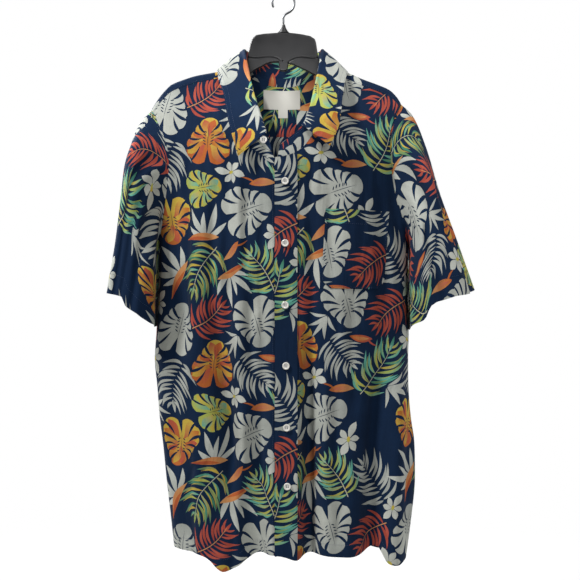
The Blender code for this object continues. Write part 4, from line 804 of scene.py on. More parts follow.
def back_outline(step):
    """Outline of the back in (run, z); the run rises towards the wearer's right."""
    hem = hem_line(HEM_BACK, side_x(-1, HEM_SIDE), side_x(1, HEM_SIDE_BACK), step)
    arms, sides = [], []
    for side, hem_z in ((-1, hem[0, 1]), (1, hem[-1, 1])):
        arm = armhole_parts(side, step)[3]
        z = straight((0.0, arm[-1, 1]), (0.0, hem_z), step * 2)[:, 1]
        arms.append(arm)
        sides.append(np.column_stack([BACK.side_run(z, -side), z]))
    seam = straight(arms[0][0], arms[1][0], step)
    arms = [to_runs(BACK, arm) for arm in arms]
    hem = to_runs(BACK, hem)
    for k in (0, 1):
        arms[k][-1] = sides[k][0]
        hem[-k] = sides[k][-1]
    return join(arms[0], sides[0], hem, sides[1][::-1], arms[1][::-1],
                to_runs(BACK, seam)[::-1])


print("front outline has", len(front_outline(1, 4.0)), "points")


# %% Outline of the yoke
def yoke_outline(step):
    """Outline of the yoke in (x, run)."""
    parts = []
    for side in (1, -1):
        seam, neck, k = yoke_front_seam(side, step)
        _, over_front, over_back, _ = armhole_parts(side, step)
        over_front, over_back = to_yoke(over_front, True), to_yoke(over_back, False)
        over_front[-1] = over_back[0] = 0.5 * (over_front[-1] + over_back[0])
        parts.append((to_yoke(even(neck[:k + 1], step=step * 0.4), True),
                      to_yoke(seam, True), over_front, over_back))
    right, left = parts
    neck = to_yoke(curve(NECK_BACK, step=step * 0.5), False)
    neck[-1] = right[0][0]
    neck[0] = left[0][0]
    xs = np.linspace(right[3][-1, 0], left[3][-1, 0], int(370.0 / step))
    seam = to_yoke(np.column_stack([xs, np.full(len(xs), YOKE_BACK_Z)]), False)
    seam[0] = right[3][-1]
    seam[-1] = left[3][-1]
    return join(neck, *right, seam, *[line[::-1] for line in left[::-1]])


print("yoke outline has", len(yoke_outline(4.0)), "points")


# %% Sleeve form
def armhole_loop(side, step):
    """Armhole as a closed loop of points, surface normals and outward directions,
    from the shoulder down the front to the underarm and up the back."""
    part_front, over_front, over_back, part_back = armhole_parts(side, step)
    top = YOKE.at(*to_yoke(over_front[::-1], True).T)
    front, back = to_runs(FRONT, part_front), to_runs(BACK, part_back)
    front[-1, 0] = FRONT.side_run(part_front[-1:, 1], side)[0]
    back[-1, 0] = BACK.side_run(part_back[-1:, 1], -side)[0]
    down, up = FRONT.at(*front.T), BACK.at(*back.T)
    over = YOKE.at(*to_yoke(over_back, False).T)
    pos, nrm = (np.vstack([top[k][:-1], down[k], up[k][::-1][1:-1], over[k][::-1][:-1]])
                for k in (0, 1))
    tangent = unit(np.roll(pos, -1, axis=0) - np.roll(pos, 1, axis=0))
    away = unit(np.cross(tangent, nrm))
    return pos, nrm, -away if away[0, 0] * side < 0 else away


def sleeve_shares(pos):
    """Share round the loop of every armhole point: 0 at the shoulder, 0.5 underarm."""
    seg = np.linalg.norm(np.roll(pos, -1, axis=0) - pos, axis=1)
    run = np.concatenate([[0], np.cumsum(seg)])
    under = int(np.argmin(pos[:, 2]))
    return np.where(np.arange(len(pos)) <= under, 0.5 * run[:-1] / run[under],
                    0.5 + 0.5 * (run[:-1] - run[under]) / (run[-1] - run[under]))


def both_ways(share):
    """Shares round the arm from 0 to 1 as -0.5 to 0.5, the front being positive."""
    return np.where(share > 0.5, share - 1.0, share)


print("armhole loops ready")


# %% Rows of a sleeve
def sleeve_section(side, v, share):
    """Point of the sleeve's own form at length share v and shares round it."""
    rows = np.array(SLEEVE[side])
    ox, oz, ix, iz, front, back, lean = (spline(rows[:, 0], rows[:, 1 + k])(v)
                                         for k in range(7))
    ang = 2 * math.pi * share
    c = np.cos(ang)
    s = np.sin(ang)
    along = 0.5 - 0.5 * np.sign(c) * np.abs(c) ** 0.9
    # move the deepest points towards the outer line
    along = along + (lean - 0.5) * np.sin(math.pi * along) ** 2
    y = -np.where(s > 0, front, back) * (np.sign(s) * np.abs(s) ** 0.9)
    off = np.abs(both_ways(share))
    x = ox + (ix - ox) * along
    x = x - side * SLEEVE_HUG * np.exp(-((off - 0.41) / 0.055) ** 2) * ease(v / 0.4)
    rise = np.interp(off, *np.array(HEM_RISE[side]).T)
    z = oz + (iz - oz) * along + rise * ease((v - 0.5) / 0.5)
    return np.column_stack([x, y, z])


def sleeve_grid(side, step, rows):
    """Rows x points of a sleeve's outer surface, first row at the armhole seam."""
    pos, nrm, away = armhole_loop(side, step)
    share = sleeve_shares(pos)
    signed = both_ways(share)
    start = pos + away * (GAP + 0.1)
    grid = []
    for v in np.linspace(0, 1, rows):
        own = sleeve_section(side, v, share)
        mix = ease(v / 0.42) if v > 0 else 0.0
        lead = away * (60.0 * v) * (1 - mix)
        point = start * (1 - mix) + lead + own * mix
        for sd, a0, a1, high, width, b0, b1 in SLEEVE_FOLDS:
            if sd != side:
                continue
            centre = a0 + (a1 - a0) * v
            h = (high * ease((v - b0) / (b1 - b0))
                 * np.exp(-((signed - centre) / width) ** 2))
            point = point + unit((own - own.mean(0)) * (1.0, 1.0, 0.35)) * h[:, None]
        grid.append(point)
    return np.array(grid), nrm


print("sleeve form ready")


# %% Collar form
def collar_shares(count):
    """Shares along the neck seam, closer together where the collar turns."""
    s = np.linspace(0, 1, 2001)
    weight = 1 + 2.4 * (np.exp(-((s - 0.32) / 0.04) ** 2)
                        + np.exp(-((s - 0.62) / 0.04) ** 2))
    run = np.concatenate([[0], np.cumsum(0.5 * (weight[1:] + weight[:-1]))])
    shares = np.interp(np.linspace(0, run[-1], count), run, s)
    table = np.array(COLLAR)
    for row in LEAF_ROWS:
        k = int(np.argmin(np.abs(shares - table[row, 6])))
        shares[k] = table[row, 6]
    return shares


def neck_loop(shares):
    """Neck seam from the right front's end round the back to the left front's end:
    points, surface normals and directions away from the panels."""
    left = curve(NECK_FRONT[-1], step=1.0)[::-1]
    right = curve(NECK_FRONT[1], step=1.0)
    a = FRONT.at(*to_runs(FRONT, left[:-6]).T)
    b = YOKE.at(*to_yoke(curve(NECK_BACK, step=1.0), False).T)
    c = FRONT.at(*to_runs(FRONT, right[6:]).T)
    pos, nrm = (np.vstack([a[k], b[k][1:-1], c[k]]) for k in (0, 1))
    run = run_of(pos)
    p = columns(shares * run[-1], run, pos)
    n = unit(columns(shares * run[-1], run, nrm))
    away = unit(np.cross(np.gradient(p, axis=0), n))
    return p, n, -away if away[len(p) // 2, 2] < 0 else away


print("neck loop ready")


# %% Form of the collar's stand
def stand_grid(shares, rows):
    """Outer surface of the collar stand, first row on the neck seam."""
    seam, normal, away = neck_loop(shares)
    table = np.array(COLLAR)
    clipped = np.clip(shares, table[0, 6], table[-1, 6])
    roll = np.column_stack([spline(table[:, 6], table[:, k])(clipped) for k in range(3)])
    # the right front's end of the stand is rounded off
    start = table[0, 6]
    low = shares < start
    end = np.array((-20.0, -67.5, -250.0))
    t = (shares[low] / start)[:, None]
    roll[low] = end * (1 - t) ** 1.5 + table[0, :3] * (1 - (1 - t) ** 1.5)
    turn = np.exp(-((shares - 0.31) / 0.03) ** 2) + np.exp(-((shares - 0.63) / 0.03) ** 2)
    base = seam + away * (GAP + 0.15) + np.array((0, 0, 2.2)) * turn[:, None]
    rise = roll - base
    height = np.linalg.norm(rise, axis=1)[:, None]
    lead = unit(away * 0.35 + unit(rise) * 0.65)
    grid = []
    for v in np.linspace(0, 1, rows):
        point = base * (1 - 3 * v ** 2 + 2 * v ** 3) + roll * (3 * v ** 2 - 2 * v ** 3)
        grid.append(point + lead * height * (v * (1 - v) ** 2) + rise * (v * v * (v - 1)))
    return np.array(grid), normal


def stand_normals(grid, seam_normal):
    """Facings of the stand, eased into the panels' at the neck seam."""
    normal = surface_normals(grid)
    if np.mean(np.sum(normal[0] * seam_normal, axis=1)) < 0:
        normal = -normal
    normal[0] = unit(seam_normal + 0.6 * normal[0])
    return normal


print("stand form ready")


# %% Form of the collar's leaf
def leaf_grid(shares, over, down):
    """Outer surface of the collar leaf: over the roll and down to its outer edge."""
    table = np.array(COLLAR)
    first, last = table[LEAF_ROWS[0], 6], table[LEAF_ROWS[1], 6]
    own = shares[(shares > first - 1e-9) & (shares < last + 1e-9)]
    stand, _ = stand_grid(shares, 5)
    pick = np.array([int(np.argmin(np.abs(shares - o))) for o in own])
    roll = stand[-1][pick]
    up = unit((stand[-1] - stand[-2])[pick])
    rows = table[LEAF_ROWS[0]:LEAF_ROWS[1] + 1]
    edge = np.column_stack([spline(rows[:, 6], rows[:, 3 + k])(own) for k in range(3)])
    along = unit(np.gradient(roll, axis=0))
    out = unit(np.cross(along, up))
    if out[len(own) // 2, 1] < 0:
        out = -out
    centre = roll + out * (ROLL_R - WALL) + up * 0.5
    lines, normals = [], []
    for deg in np.linspace(180.0, 0.0, over):
        a = math.radians(deg)
        ray = out * math.cos(a) + up * math.sin(a)
        lines.append(centre + ray * ROLL_R)
        normals.append(ray)
    start = lines[-1]
    fall = edge - start
    flat = unit(np.cross(unit(fall), along))
    flat = np.where(np.sum(flat * out, axis=1)[:, None] < 0, -flat, flat)
    for t in np.linspace(0, 1, down + 1)[1:]:
        lines.append(start + fall * t + flat * (LEAF_BULGE * math.sin(math.pi * t ** 0.8)))
        normals.append(flat)
    grid, normal = np.array(lines), np.array(normals)
    real = surface_normals(grid)
    if np.mean(np.sum(real[-1] * flat, axis=1)) < 0:
        real = -real
    normal[over:] = real[over:]
    return grid, normal


print("leaf form ready")

# %% [markdown]
# ## The printed motifs
# The cloth is printed with big leaves and flowers in flat inks. Each motif is a handful of
# closed outlines in millimetres, drawn by a small rule: a blade is a pointed shape round a
# bent middle line, a frond is a stem with blades on both sides, and so on. Outlines are
# chosen over a picture because they stay sharp at any distance and need no image file.

# %% Inks
INKS = {
    "cream": "#b2b5ad", "grey": "#a2a6a0", "ground": "#0e233e", "teal": "#62a594",
    "green": "#3f7a62", "lime": "#a3ab55", "yellow": "#bea243", "orange": "#b0602f",
    "coral": "#ab5041", "red": "#9c4235", "peach": "#c08c5b", "white": "#bfc2ba",
    "stem": "#b9b79f",
}


def linear(code):
    """sRGB hex text to linear red, green and blue."""
    parts = [int(code[i:i + 2], 16) / 255 for i in (1, 3, 5)]
    return [c / 12.92 if c <= 0.04045 else ((c + 0.055) / 1.055) ** 2.4 for c in parts]


INK = {name: np.array(linear(code)) for name, code in INKS.items()}
print("inks:", ", ".join(INK))


# %% A blade, the pointed shape that all leaves and petals are made of
def blade(start, end, width, bend=0.0, full=0.75, points=6):
    """Outline of a pointed leaf from start to end, width across, bent sideways."""
    start = np.asarray(start, float)
    end = np.asarray(end, float)
    along = end - start
    side = np.array((-along[1], along[0])) / max(np.hypot(*along), 1e-9)
    t = np.linspace(0, 1, points + 2)[:, None]
    middle = start + along * t + side * bend * np.sin(math.pi * t)
    half = 0.5 * width * np.sin(math.pi * t ** full) ** 0.9
    left = middle + side * half
    right = middle - side * half
    return np.vstack([left[:-1], right[:0:-1]])


def ring(centre, size_a, size_b, turn=0.0, points=8):
    """Outline of a turned ellipse."""
    a = circle(points)
    p = np.column_stack([size_a * np.cos(a), size_b * np.sin(a)])
    c, s = math.cos(turn), math.sin(turn)
    return p @ np.array([(c, s), (-s, c)]) + centre


def spin_matrix(degrees):
    """Matrix that turns rows of flat points."""
    a = math.radians(degrees)
    c, s = math.cos(a), math.sin(a)
    return np.array([(c, s), (-s, c)])


def heading(degrees):
    """Flat direction at an angle from straight up."""
    a = math.radians(degrees)
    return np.array((math.sin(a), math.cos(a)))


def shape(outline, ink_a, ink_b, start, end):
    """One printed shape: its outline, and two inks blended from start to end."""
    return [np.asarray(outline, float), ink_a, ink_b, np.array(start, float),
            np.array(end, float)]


# %% Palm frond
def frond(length, inks, leaflets=10, spread=0.64, bow=0.10):
    """A bent stem with leaflets that shorten towards the tip, each half shaded."""
    t = np.linspace(0, 1, 9)
    stem = np.column_stack([bow * length * np.sin(math.pi * t) * 0.8, length * t])
    out = []
    for k in range(leaflets):
        share = 0.07 + 0.86 * k / (leaflets - 1)
        x = np.interp(share, t, stem[:, 0])
        y = length * share
        reach = length * spread * (0.52 + 0.48 * math.sin(math.pi * (0.12 + 0.80 * share)))
        reach = reach * (1.0 - 0.45 * share ** 3)
        for side in (-1, 1):
            lean = math.radians(70 - 42 * share + 6 * math.sin(2.3 * k + side))
            size = reach * (0.92 + 0.11 * math.sin(3.1 * k + 1.7 * side))
            root = np.array((x, y + 0.012 * length * side))
            tip = root + size * np.array((side * math.sin(lean), math.cos(lean)))
            wide = length * 0.67 / leaflets * (1.08 - 0.32 * share)
            bend = -side * size * 0.13
            ink = inks[(k + (side > 0)) % len(inks)]
            leaflet = blade(root, tip, wide, bend, 0.84, 7)
            out.append(shape(leaflet, ink, inks[0], root, tip))
            if len(inks) > 2:
                far = root + 0.80 * (tip - root) + (0.0, 0.18 * wide)
                out.append(shape(blade(root, far, wide * 0.42, bend * 0.85, 0.95, 5),
                                 inks[(k + 1) % len(inks)], inks[1], root, far))
    top = blade((stem[-2][0], length * 0.88), (stem[-1][0] - 1.0, length * 1.18),
                length * 0.07, 0.0, 0.8, 6)
    out.append(shape(top, inks[0], inks[-1], (0, length * 0.9), (0, length * 1.15)))
    edge = np.gradient(stem, axis=0)
    side = np.column_stack([-edge[:, 1], edge[:, 0]])
    side = side / np.linalg.norm(side, axis=1)[:, None]
    half = np.linspace(0.75, 0.35, 9)[:, None]
    line = np.vstack([stem + side * half, (stem - side * half)[::-1]])
    rib = "stem" if len(inks) > 2 else "ground" if inks[0] == "grey" else "peach"
    out.append(shape(line, rib, rib, (0, 0), (0, length)))
    return out


# %% Sprig
def sprig(length, inks):
    """Five narrow leaves that fan out from one point."""
    out = []
    for k, (deg, size, wide) in enumerate(((-64, 0.62, 0.13), (-30, 0.86, 0.15),
                                           (0, 1.0, 0.16), (27, 0.80, 0.14),
                                           (63, 0.66, 0.12))):
        root = np.array((0.02 * length * (k - 2), 0.02 * length * (k % 2)))
        tip = root + size * length * heading(deg)
        bend = 0.07 * length * (-1 if deg < 0 else 1) * (0.3 if deg == 0 else 1.0)
        out.append(shape(blade(root, tip, wide * length, bend, 0.86, 7), inks[0], inks[1],
                         root, tip))
    return out


# %% Split leaf
def split_leaf(length, inks):
    """A heart-shaped leaf with bent slots from its edge and small holes by its midrib."""
    centre = np.array((0.0, 0.36 * length))
    slots = (-136, -108, -82, -57, -31, 27, 54, 80, 105, 133)

    def reach(deg):
        a = math.radians(abs(deg))
        base = 0.60 - 0.10 * math.cos(a) + 0.05 * math.cos(2 * a) + 0.055 * math.cos(3 * a)
        dent = min(abs(deg - slot) for slot in slots)
        notch = 0.22 * math.exp(-((180 - abs(deg)) / 15) ** 2)
        return length * base * (1.0 - notch - 0.07 * math.exp(-(dent / 4.5) ** 2))

    def place(deg, share):
        return centre + share * reach(deg) * heading(deg)

    root, tip = (0, 0.12 * length), (0.10 * length, 0.92 * length)
    outline = [root] + [place(deg, 1.0) for deg in np.arange(-172, 173, 4.3)]
    out = [shape(outline, inks[0], inks[1], root, tip)]
    if len(inks) > 2:
        edges = (-162,) + slots[:5] + (0,) + slots[5:] + (162,)
        for k, (a, b) in enumerate(zip(edges, edges[1:])):
            middle = 0.5 * (a + b)
            near, far = place(middle, 0.14), place(middle, 0.97)
            wide = 0.80 * reach(middle) * math.radians(b - a)
            bend = 0.03 * length * (1 if middle > 0 else -1)
            streak = blade(near, far, wide, bend, 1.5, 5)
            out.append(shape(streak, inks[(k + 2) % 3], inks[k % 3], near, far))
    for k, deg in enumerate(slots):
        side = 1 if deg > 0 else -1
        depth = 0.36 + 0.08 * math.sin(2.9 * k)
        start, end = place(deg + side * 3, 1.10), place(deg - side * 9, depth)
        slot = blade(start, end, (0.068 + 0.016 * math.sin(1.7 * k)) * length,
                     side * 0.035 * length, 0.62, 6)
        out.append(shape(slot, "ground", "ground", (0, 0), (0, 1)))
    for side in (-1, 1):
        for k, (up, off) in enumerate(((0.26, 0.085), (0.34, 0.105), (0.42, 0.11),
                                       (0.50, 0.105), (0.58, 0.09))):
            hole = ring((side * off * length, up * length), 0.050 * length, 0.015 * length,
                        side * math.radians(30 - 3 * k), 6)
            out.append(shape(hole, "ground", "ground", (0, 0), (0, 1)))
    rib = blade((0, 0.08 * length), (0, 0.82 * length), 0.014 * length, 0.01 * length,
                1.0, 5)
    out.append(shape(rib, "ground", "ground", (0, 0), (0, 1)))
    return out


# %% Flowers and bracts
def crane_flower(length, inks):
    """A long pointed bract with four upright petals."""
    out = []
    root = np.array((0.06 * length, 0.0))
    for deg, size, wide in ((-66, 0.58, 0.12), (-34, 0.84, 0.15), (-8, 0.62, 0.12),
                            (14, 0.88, 0.17), (52, 0.66, 0.14)):
        tip = root + size * length * heading(deg)
        bend = 0.05 * length * (1 if deg < 0 else -1)
        out.append(shape(blade(root, tip, wide * length, bend, 1.0, 7), inks[1], inks[0],
                         root, tip))
    start, end = np.array((-0.62, -0.12)) * length, np.array((0.42, 0.03)) * length
    out.append(shape(blade(start, end, 0.19 * length, 0.04 * length, 1.35, 8), "orange",
                     "peach", start, end))
    start, end = np.array((-0.60, -0.125)) * length, np.array((0.20, -0.035)) * length
    out.append(shape(blade(start, end, 0.085 * length, 0.03 * length, 1.3, 6), "red",
                     "orange", start, end))
    return out


def small_flower(size, inks):
    """Six uneven petals round a yellow heart."""
    out = []
    for deg, far, wide in ((4, 0.74, 0.30), (66, 0.46, 0.24), (128, 0.52, 0.28),
                           (187, 0.66, 0.30), (246, 0.48, 0.26), (303, 0.50, 0.25)):
        tip = size * far * heading(deg)
        out.append(shape(blade((0, 0), tip, wide * size, 0.03 * size, 1.35, 6), inks[1],
                         inks[0], (0, 0), tip))
    heart = ring((0.0, 0.02 * size), 0.07 * size, 0.12 * size, 0.3)
    out.append(shape(heart, "lime", "yellow", (0, -0.1 * size), (0, 0.1 * size)))
    return out


def bract(size, inks):
    """A loose pointed bract with a curled tail."""
    start, end = np.array((0.0, -0.5)) * size, np.array((0.0, 0.5)) * size
    tail = blade((-0.26 * size, -0.80 * size), (0.03 * size, -0.22 * size), 0.07 * size,
                 0.06 * size, 1.0, 6)
    return [shape(tail, inks[0], inks[0], start, end),
            shape(blade(start, end, 0.30 * size, 0.05 * size, 0.9, 8), inks[0], inks[1],
                  start, end),
            shape(blade(start * 0.72, end * 0.80, 0.15 * size, 0.05 * size, 0.9, 6),
                  inks[2], inks[1], start, end)]


# %% The repeat
# kind, inks, across, up, turn in degrees, size (mm); one tile is TILE wide and high
TILE = (304.0, 348.0)
REPEAT = (
    ("frond", ("grey", "cream"), 214, 120, 159, 74),
    ("frond", ("teal", "lime", "yellow", "green"), 84, 40, -23, 82),
    ("frond", ("coral", "red"), 146, 186, 126, 69),
    ("frond", ("grey", "cream"), 142, 216, 36, 78),
    ("frond", ("green", "yellow", "teal", "lime"), 276, 298, 150, 80),
    ("frond", ("coral", "red"), 230, 172, -55, 65),
    ("frond", ("teal", "lime", "yellow"), 70, 230, 35, 71),
    ("frond", ("grey", "cream"), 12, 128, -131, 65),
    ("sprig", ("grey", "cream"), 130, 50, -107, 48),
    ("sprig", ("white", "grey"), 10, 162, 143, 42),
    ("split", ("cream", "grey"), 4, 0, -72, 67),
    ("split", ("yellow", "orange", "coral"), 190, 14, 178, 61),
    ("split", ("cream", "grey"), 190, 150, -14, 65),
    ("split", ("orange", "yellow", "coral"), 266, 96, -3, 60),
    ("split", ("cream", "grey"), 36, 202, -165, 63),
    ("split", ("lime", "yellow", "teal"), 238, 40, -82, 50),
    ("crane", ("white", "grey"), 200, 254, 54, 66),
    ("crane", ("white", "grey"), 302, 258, -161, 61),
    ("crane", ("white", "grey"), 254, 314, -5, 63),
    ("flower", ("white", "cream"), 72, 318, -18, 40),
    ("flower", ("white", "cream"), 0, 66, 82, 38),
    ("flower", ("white", "cream"), 156, 210, -34, 36),
    ("flower", ("white", "cream"), 150, 124, -146, 40),
    ("bract", ("orange", "peach", "coral"), 52, 48, -88, 42),
    ("bract", ("orange", "peach", "coral"), 302, 292, 137, 40),
    ("bract", ("coral", "orange", "peach"), 64, 128, 82, 38),
)
MAKERS = {"frond": frond, "sprig": sprig, "split": split_leaf, "crane": crane_flower,
          "flower": small_flower, "bract": bract}


def motif(kind, inks, across, up, turn, size):
    """The shapes of one motif of the repeat, turned and in place."""
    spin = spin_matrix(turn)
    place = np.array((across, up), float)
    return [[s0 @ spin + place, ia, ib, p0 @ spin + place, p1 @ spin + place]
            for s0, ia, ib, p0, p1 in MAKERS[kind](size, inks)]


TILE_SHAPES = [part for row in REPEAT for part in motif(*row)]
print("one repeat holds", len(REPEAT), "motifs and", len(TILE_SHAPES), "shapes")

# %% [markdown]
# ## Cutting a printed panel
# A panel is cut as a tailor does: flat, from its outline. The outline, the printed shapes
# and a loose grid of points go together into one Delaunay triangulation, which keeps every
# outline as a line of edges. So the print has clean borders, and a triangle lies in a
# shape or out of it, never half: the last shape printed over it gives it its ink.

# %% Points against an outline
def inside(poly, pts):
    """Which points lie inside a closed outline."""
    x, y = pts[:, 0], pts[:, 1]
    hit = np.zeros(len(pts), bool)
    for (x0, y0), (x1, y1) in zip(poly, np.roll(poly, -1, axis=0)):
        if y0 != y1:
            cross = (y0 > y) != (y1 > y)
            hit ^= cross & (x < (x1 - x0) * (y - y0) / (y1 - y0) + x0)
    return hit


def distance(line, pts, closed=False):
    """Distance of the points from a line, open or closed."""
    best = np.full(len(pts), 1e9)
    ends = np.roll(line, -1, axis=0) if closed else line[1:]
    for s, e in zip(line, ends):
        d = e - s
        t = np.clip(((pts - s) @ d) / max(d @ d, 1e-12), 0, 1)
        best = np.minimum(best, np.linalg.norm(pts - (s + t[:, None] * d), axis=1))
    return best


def near_edge(poly, pts, dist):
    """Which points lie nearer than dist to the outline."""
    near = np.zeros(len(pts), bool)
    for s, e in zip(poly, np.roll(poly, -1, axis=0)):
        lo, hi = np.minimum(s, e) - dist, np.maximum(s, e) + dist
        pick = np.nonzero(((pts > lo) & (pts < hi)).all(axis=1))[0]
        if len(pick):
            q = pts[pick]
            d = e - s
            t = np.clip(((q - s) @ d) / max(d @ d, 1e-12), 0, 1)
            near[pick] |= np.linalg.norm(q - (s + t[:, None] * d), axis=1) < dist
    return near


def dense(outline, step):
    """The outline with points no further apart than step."""
    out = []
    for s, e in zip(outline, np.roll(outline, -1, axis=0)):
        n = max(1, int(math.ceil(np.linalg.norm(e - s) / step)))
        out.append(s + (e - s) * (np.arange(n) / n)[:, None])
    return np.vstack(out)


print("outline tests ready")


# %% The print on a piece of cloth
def printed_shapes(low, high, shift, turn):
    """Shapes of the repeat that touch a box of cloth, in the panel's own flat frame."""
    spin = spin_matrix(turn)
    reach = np.linalg.norm(high - low) / 2 + 60.0
    centre = ((low + high) / 2 - shift) @ spin.T
    found = []
    across, up = (range(int((centre[k] - reach) // TILE[k]),
                        int((centre[k] + reach) // TILE[k]) + 1) for k in (0, 1))
    for i in across:
        for j in up:
            at = np.array((i * TILE[0], j * TILE[1]))
            for line, ink_a, ink_b, p0, p1 in TILE_SHAPES:
                q = (line + at) @ spin + shift
                if (q.max(0) > low).all() and (q.min(0) < high).all():
                    found.append((q, ink_a, ink_b, (p0 + at) @ spin + shift,
                                  (p1 + at) @ spin + shift))
    return found


print("print repeats every", TILE, "mm")


# %% Flat cutting
def loop_edges(count, first=0):
    """Edges that close a loop of points."""
    return [(first + k, first + (k + 1) % count) for k in range(count)]


def triangulate(verts, edges, faces, close, wanted=False):
    """Constrained Delaunay triangulation: its result, its points and its triangles."""
    out = delaunay_2d_cdt([Vector(v) for v in verts], edges, faces, 0, close, wanted)
    return out, np.array([tuple(v) for v in out[0]]), np.array([tuple(t) for t in out[2]])


def cut_panel(outline, step, shift=(0.0, 0.0), turn=0.0, plain=None):
    """Flat printed panel: points, triangles and the ink at each triangle's corners."""
    outline = dense(np.asarray(outline, float), step)
    low, high = outline.min(0), outline.max(0)
    rows = np.arange(low[1] + step * 0.4, high[1], step * 0.9)
    grid = []
    for k, v in enumerate(rows):
        across = np.arange(low[0] + step * (0.3 + 0.5 * (k % 2)), high[0], step)
        grid.append(np.column_stack([across, np.full(len(across), v)]))
    pts = np.vstack(grid)
    pts = pts[inside(outline, pts)]
    pts = pts[~near_edge(outline, pts, step * 0.45)]
    shapes = [] if plain else printed_shapes(low, high, np.array(shift), turn)
    verts = outline.tolist() + pts.tolist()
    edges = loop_edges(len(outline))
    for line, *_ in shapes:
        edges += loop_edges(len(line), len(verts))
        verts.extend(line.tolist())
    _, co, tris = triangulate(verts, edges, [], 1e-4)
    middle = co[tris].mean(axis=1)
    keep = inside(outline, middle)
    tris, middle = tris[keep], middle[keep]
    top = np.zeros(len(tris), int)
    for n, (line, *_) in enumerate(shapes, 1):
        near = ((middle > line.min(0)) & (middle < line.max(0))).all(axis=1)
        pick = np.nonzero(near)[0]
        top[pick[inside(line, middle[pick])]] = n
    used, back = np.unique(tris, return_inverse=True)
    tris = back.reshape(-1, 3)
    co = co[used]
    ground = np.array(INK[plain] if plain else INK["ground"])
    ink = np.tile(ground, (len(tris), 3, 1))
    for n, (line, ink_a, ink_b, p0, p1) in enumerate(shapes, 1):
        pick = np.nonzero(top == n)[0]
        if len(pick):
            way = p1 - p0
            share = ((co[tris[pick]] - p0) @ way) / max(way @ way, 1e-9)
            share = np.clip(share, 0, 1)[..., None]
            ink[pick] = INK[ink_a] * (1 - share) + INK[ink_b] * share
    return co, tris, ink


print("cutting tools ready")

# %% [markdown]
# ## From flat panel to cloth
# A cut panel is laid on its form by looking up where each flat point goes and which way
# the cloth faces there. The cloth gets a thin inner side too, joined round the edge, so
# that it looks right through the neck and from below. The exact facing of the form is
# kept as the shading normal, because a print's thin triangles would otherwise show.


# %% Thin cloth
def shell_faces(tris, count):
    """Faces of a closed shell whose second side's points come count later: all faces, the
    quads round the edge, and each quad's number among the edges of the triangles."""
    edges = np.concatenate([tris[:, [0, 1]], tris[:, [1, 2]], tris[:, [2, 0]]])
    key = edges[:, 0] * count + edges[:, 1]
    number = np.nonzero(~np.isin(key, edges[:, 1] * count + edges[:, 0]))[0]
    a, b = edges[number].T
    quads = np.column_stack([b, a, a + count, b + count])
    return tris.tolist() + (tris[:, ::-1] + count).tolist() + quads.tolist(), quads, number


def cloth(name, flat, tris, ink, pos, nrm, thick, fabric, lift=0.0):
    """Closed thin shell with the print on both sides, in metres."""
    lift = np.broadcast_to(np.asarray(lift, float), (len(pos),))[:, None]
    outer = pos + nrm * lift
    inner = pos + nrm * (lift - thick)
    a, b, c = (outer[tris[:, k]] for k in range(3))
    facing = np.sum(np.cross(b - a, c - a) * nrm[tris[:, 0]], axis=1)
    if np.sum(facing) < 0:
        tris = tris[:, ::-1]
        ink = ink[:, ::-1]
    n = len(pos)
    faces, rim_quads, number = shell_faces(tris, n)
    own, cor = number % len(tris), number // len(tris)
    mesh = bpy.data.meshes.new(name)
    mesh.from_pydata((np.vstack([outer, inner]) / 1000.0).tolist(), [], faces)
    first = ink[own, cor]
    second = ink[own, (cor + 1) % 3]
    rim_ink = np.stack([second, first, first, second], axis=1).reshape(-1, 3)
    colour = np.vstack([ink.reshape(-1, 3), ink[:, ::-1].reshape(-1, 3), rim_ink])
    colour = np.column_stack([colour, np.ones(len(colour))])
    layer = mesh.color_attributes.new("print", "FLOAT_COLOR", "CORNER")
    layer.data.foreach_set("color", colour.astype(np.float32).ravel())
    uv = np.vstack([flat[tris].reshape(-1, 2), flat[tris[:, ::-1]].reshape(-1, 2),
                    flat[rim_quads % n].reshape(-1, 2)]) / 1000.0
    mesh.uv_layers.new(name="cloth")
    mesh.uv_layers["cloth"].data.foreach_set("uv", uv.astype(np.float32).ravel())
    mesh.shade_smooth()
    mesh.normals_split_custom_set_from_vertices(np.vstack([nrm, -nrm]).tolist())
    mesh.materials.append(fabric)
    return placed(name, mesh)


print("cloth maker ready")


# %% A cloth piece in place of its solid
def stands_for(piece, node):
    """The piece takes the place of a solid node and its finish, and hangs still."""
    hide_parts(node)
    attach(piece, "root")


def doubled_areas(flat, tris):
    """Twice the signed area of every flat triangle."""
    a, b, c = (flat[tris[:, k]] for k in range(3))
    return ((b[:, 0] - a[:, 0]) * (c[:, 1] - a[:, 1])
            - (b[:, 1] - a[:, 1]) * (c[:, 0] - a[:, 0]))


def sewn(obj, node):
    """A finished cloth piece takes its solid node's place."""
    stands_for(obj, node)


# %% [markdown]
# ## The cloth's finish
# The cloth is a light plain-weave blend of cotton and rayon. It is matt, with a faint
# sheen at grazing angles from the fibre ends, and its threads run along the panel. The
# real threads are about 0.25 mm apart, too fine to see here, so the weave is drawn at
# 0.9 mm. Washing has left it a little uneven: a bump of soft dents about 60 mm across and
# one of puckers, 20 mm wide and drawn out down the cloth, lie under the weave. The inks
# come from the colour stored at each corner of the mesh.

# %% Helpers for finishes
def add_node(tree, kind, settings=None, inputs=None):
    """Add a node; inputs may be values or the output sockets of other nodes."""
    node = tree.nodes.new(kind)
    for key, value in (settings or {}).items():
        setattr(node, key, value)
    for key, value in (inputs or {}).items():
        if isinstance(value, bpy.types.NodeSocket):
            tree.links.new(value, node.inputs[key])
        else:
            node.inputs[key].default_value = value
    return node


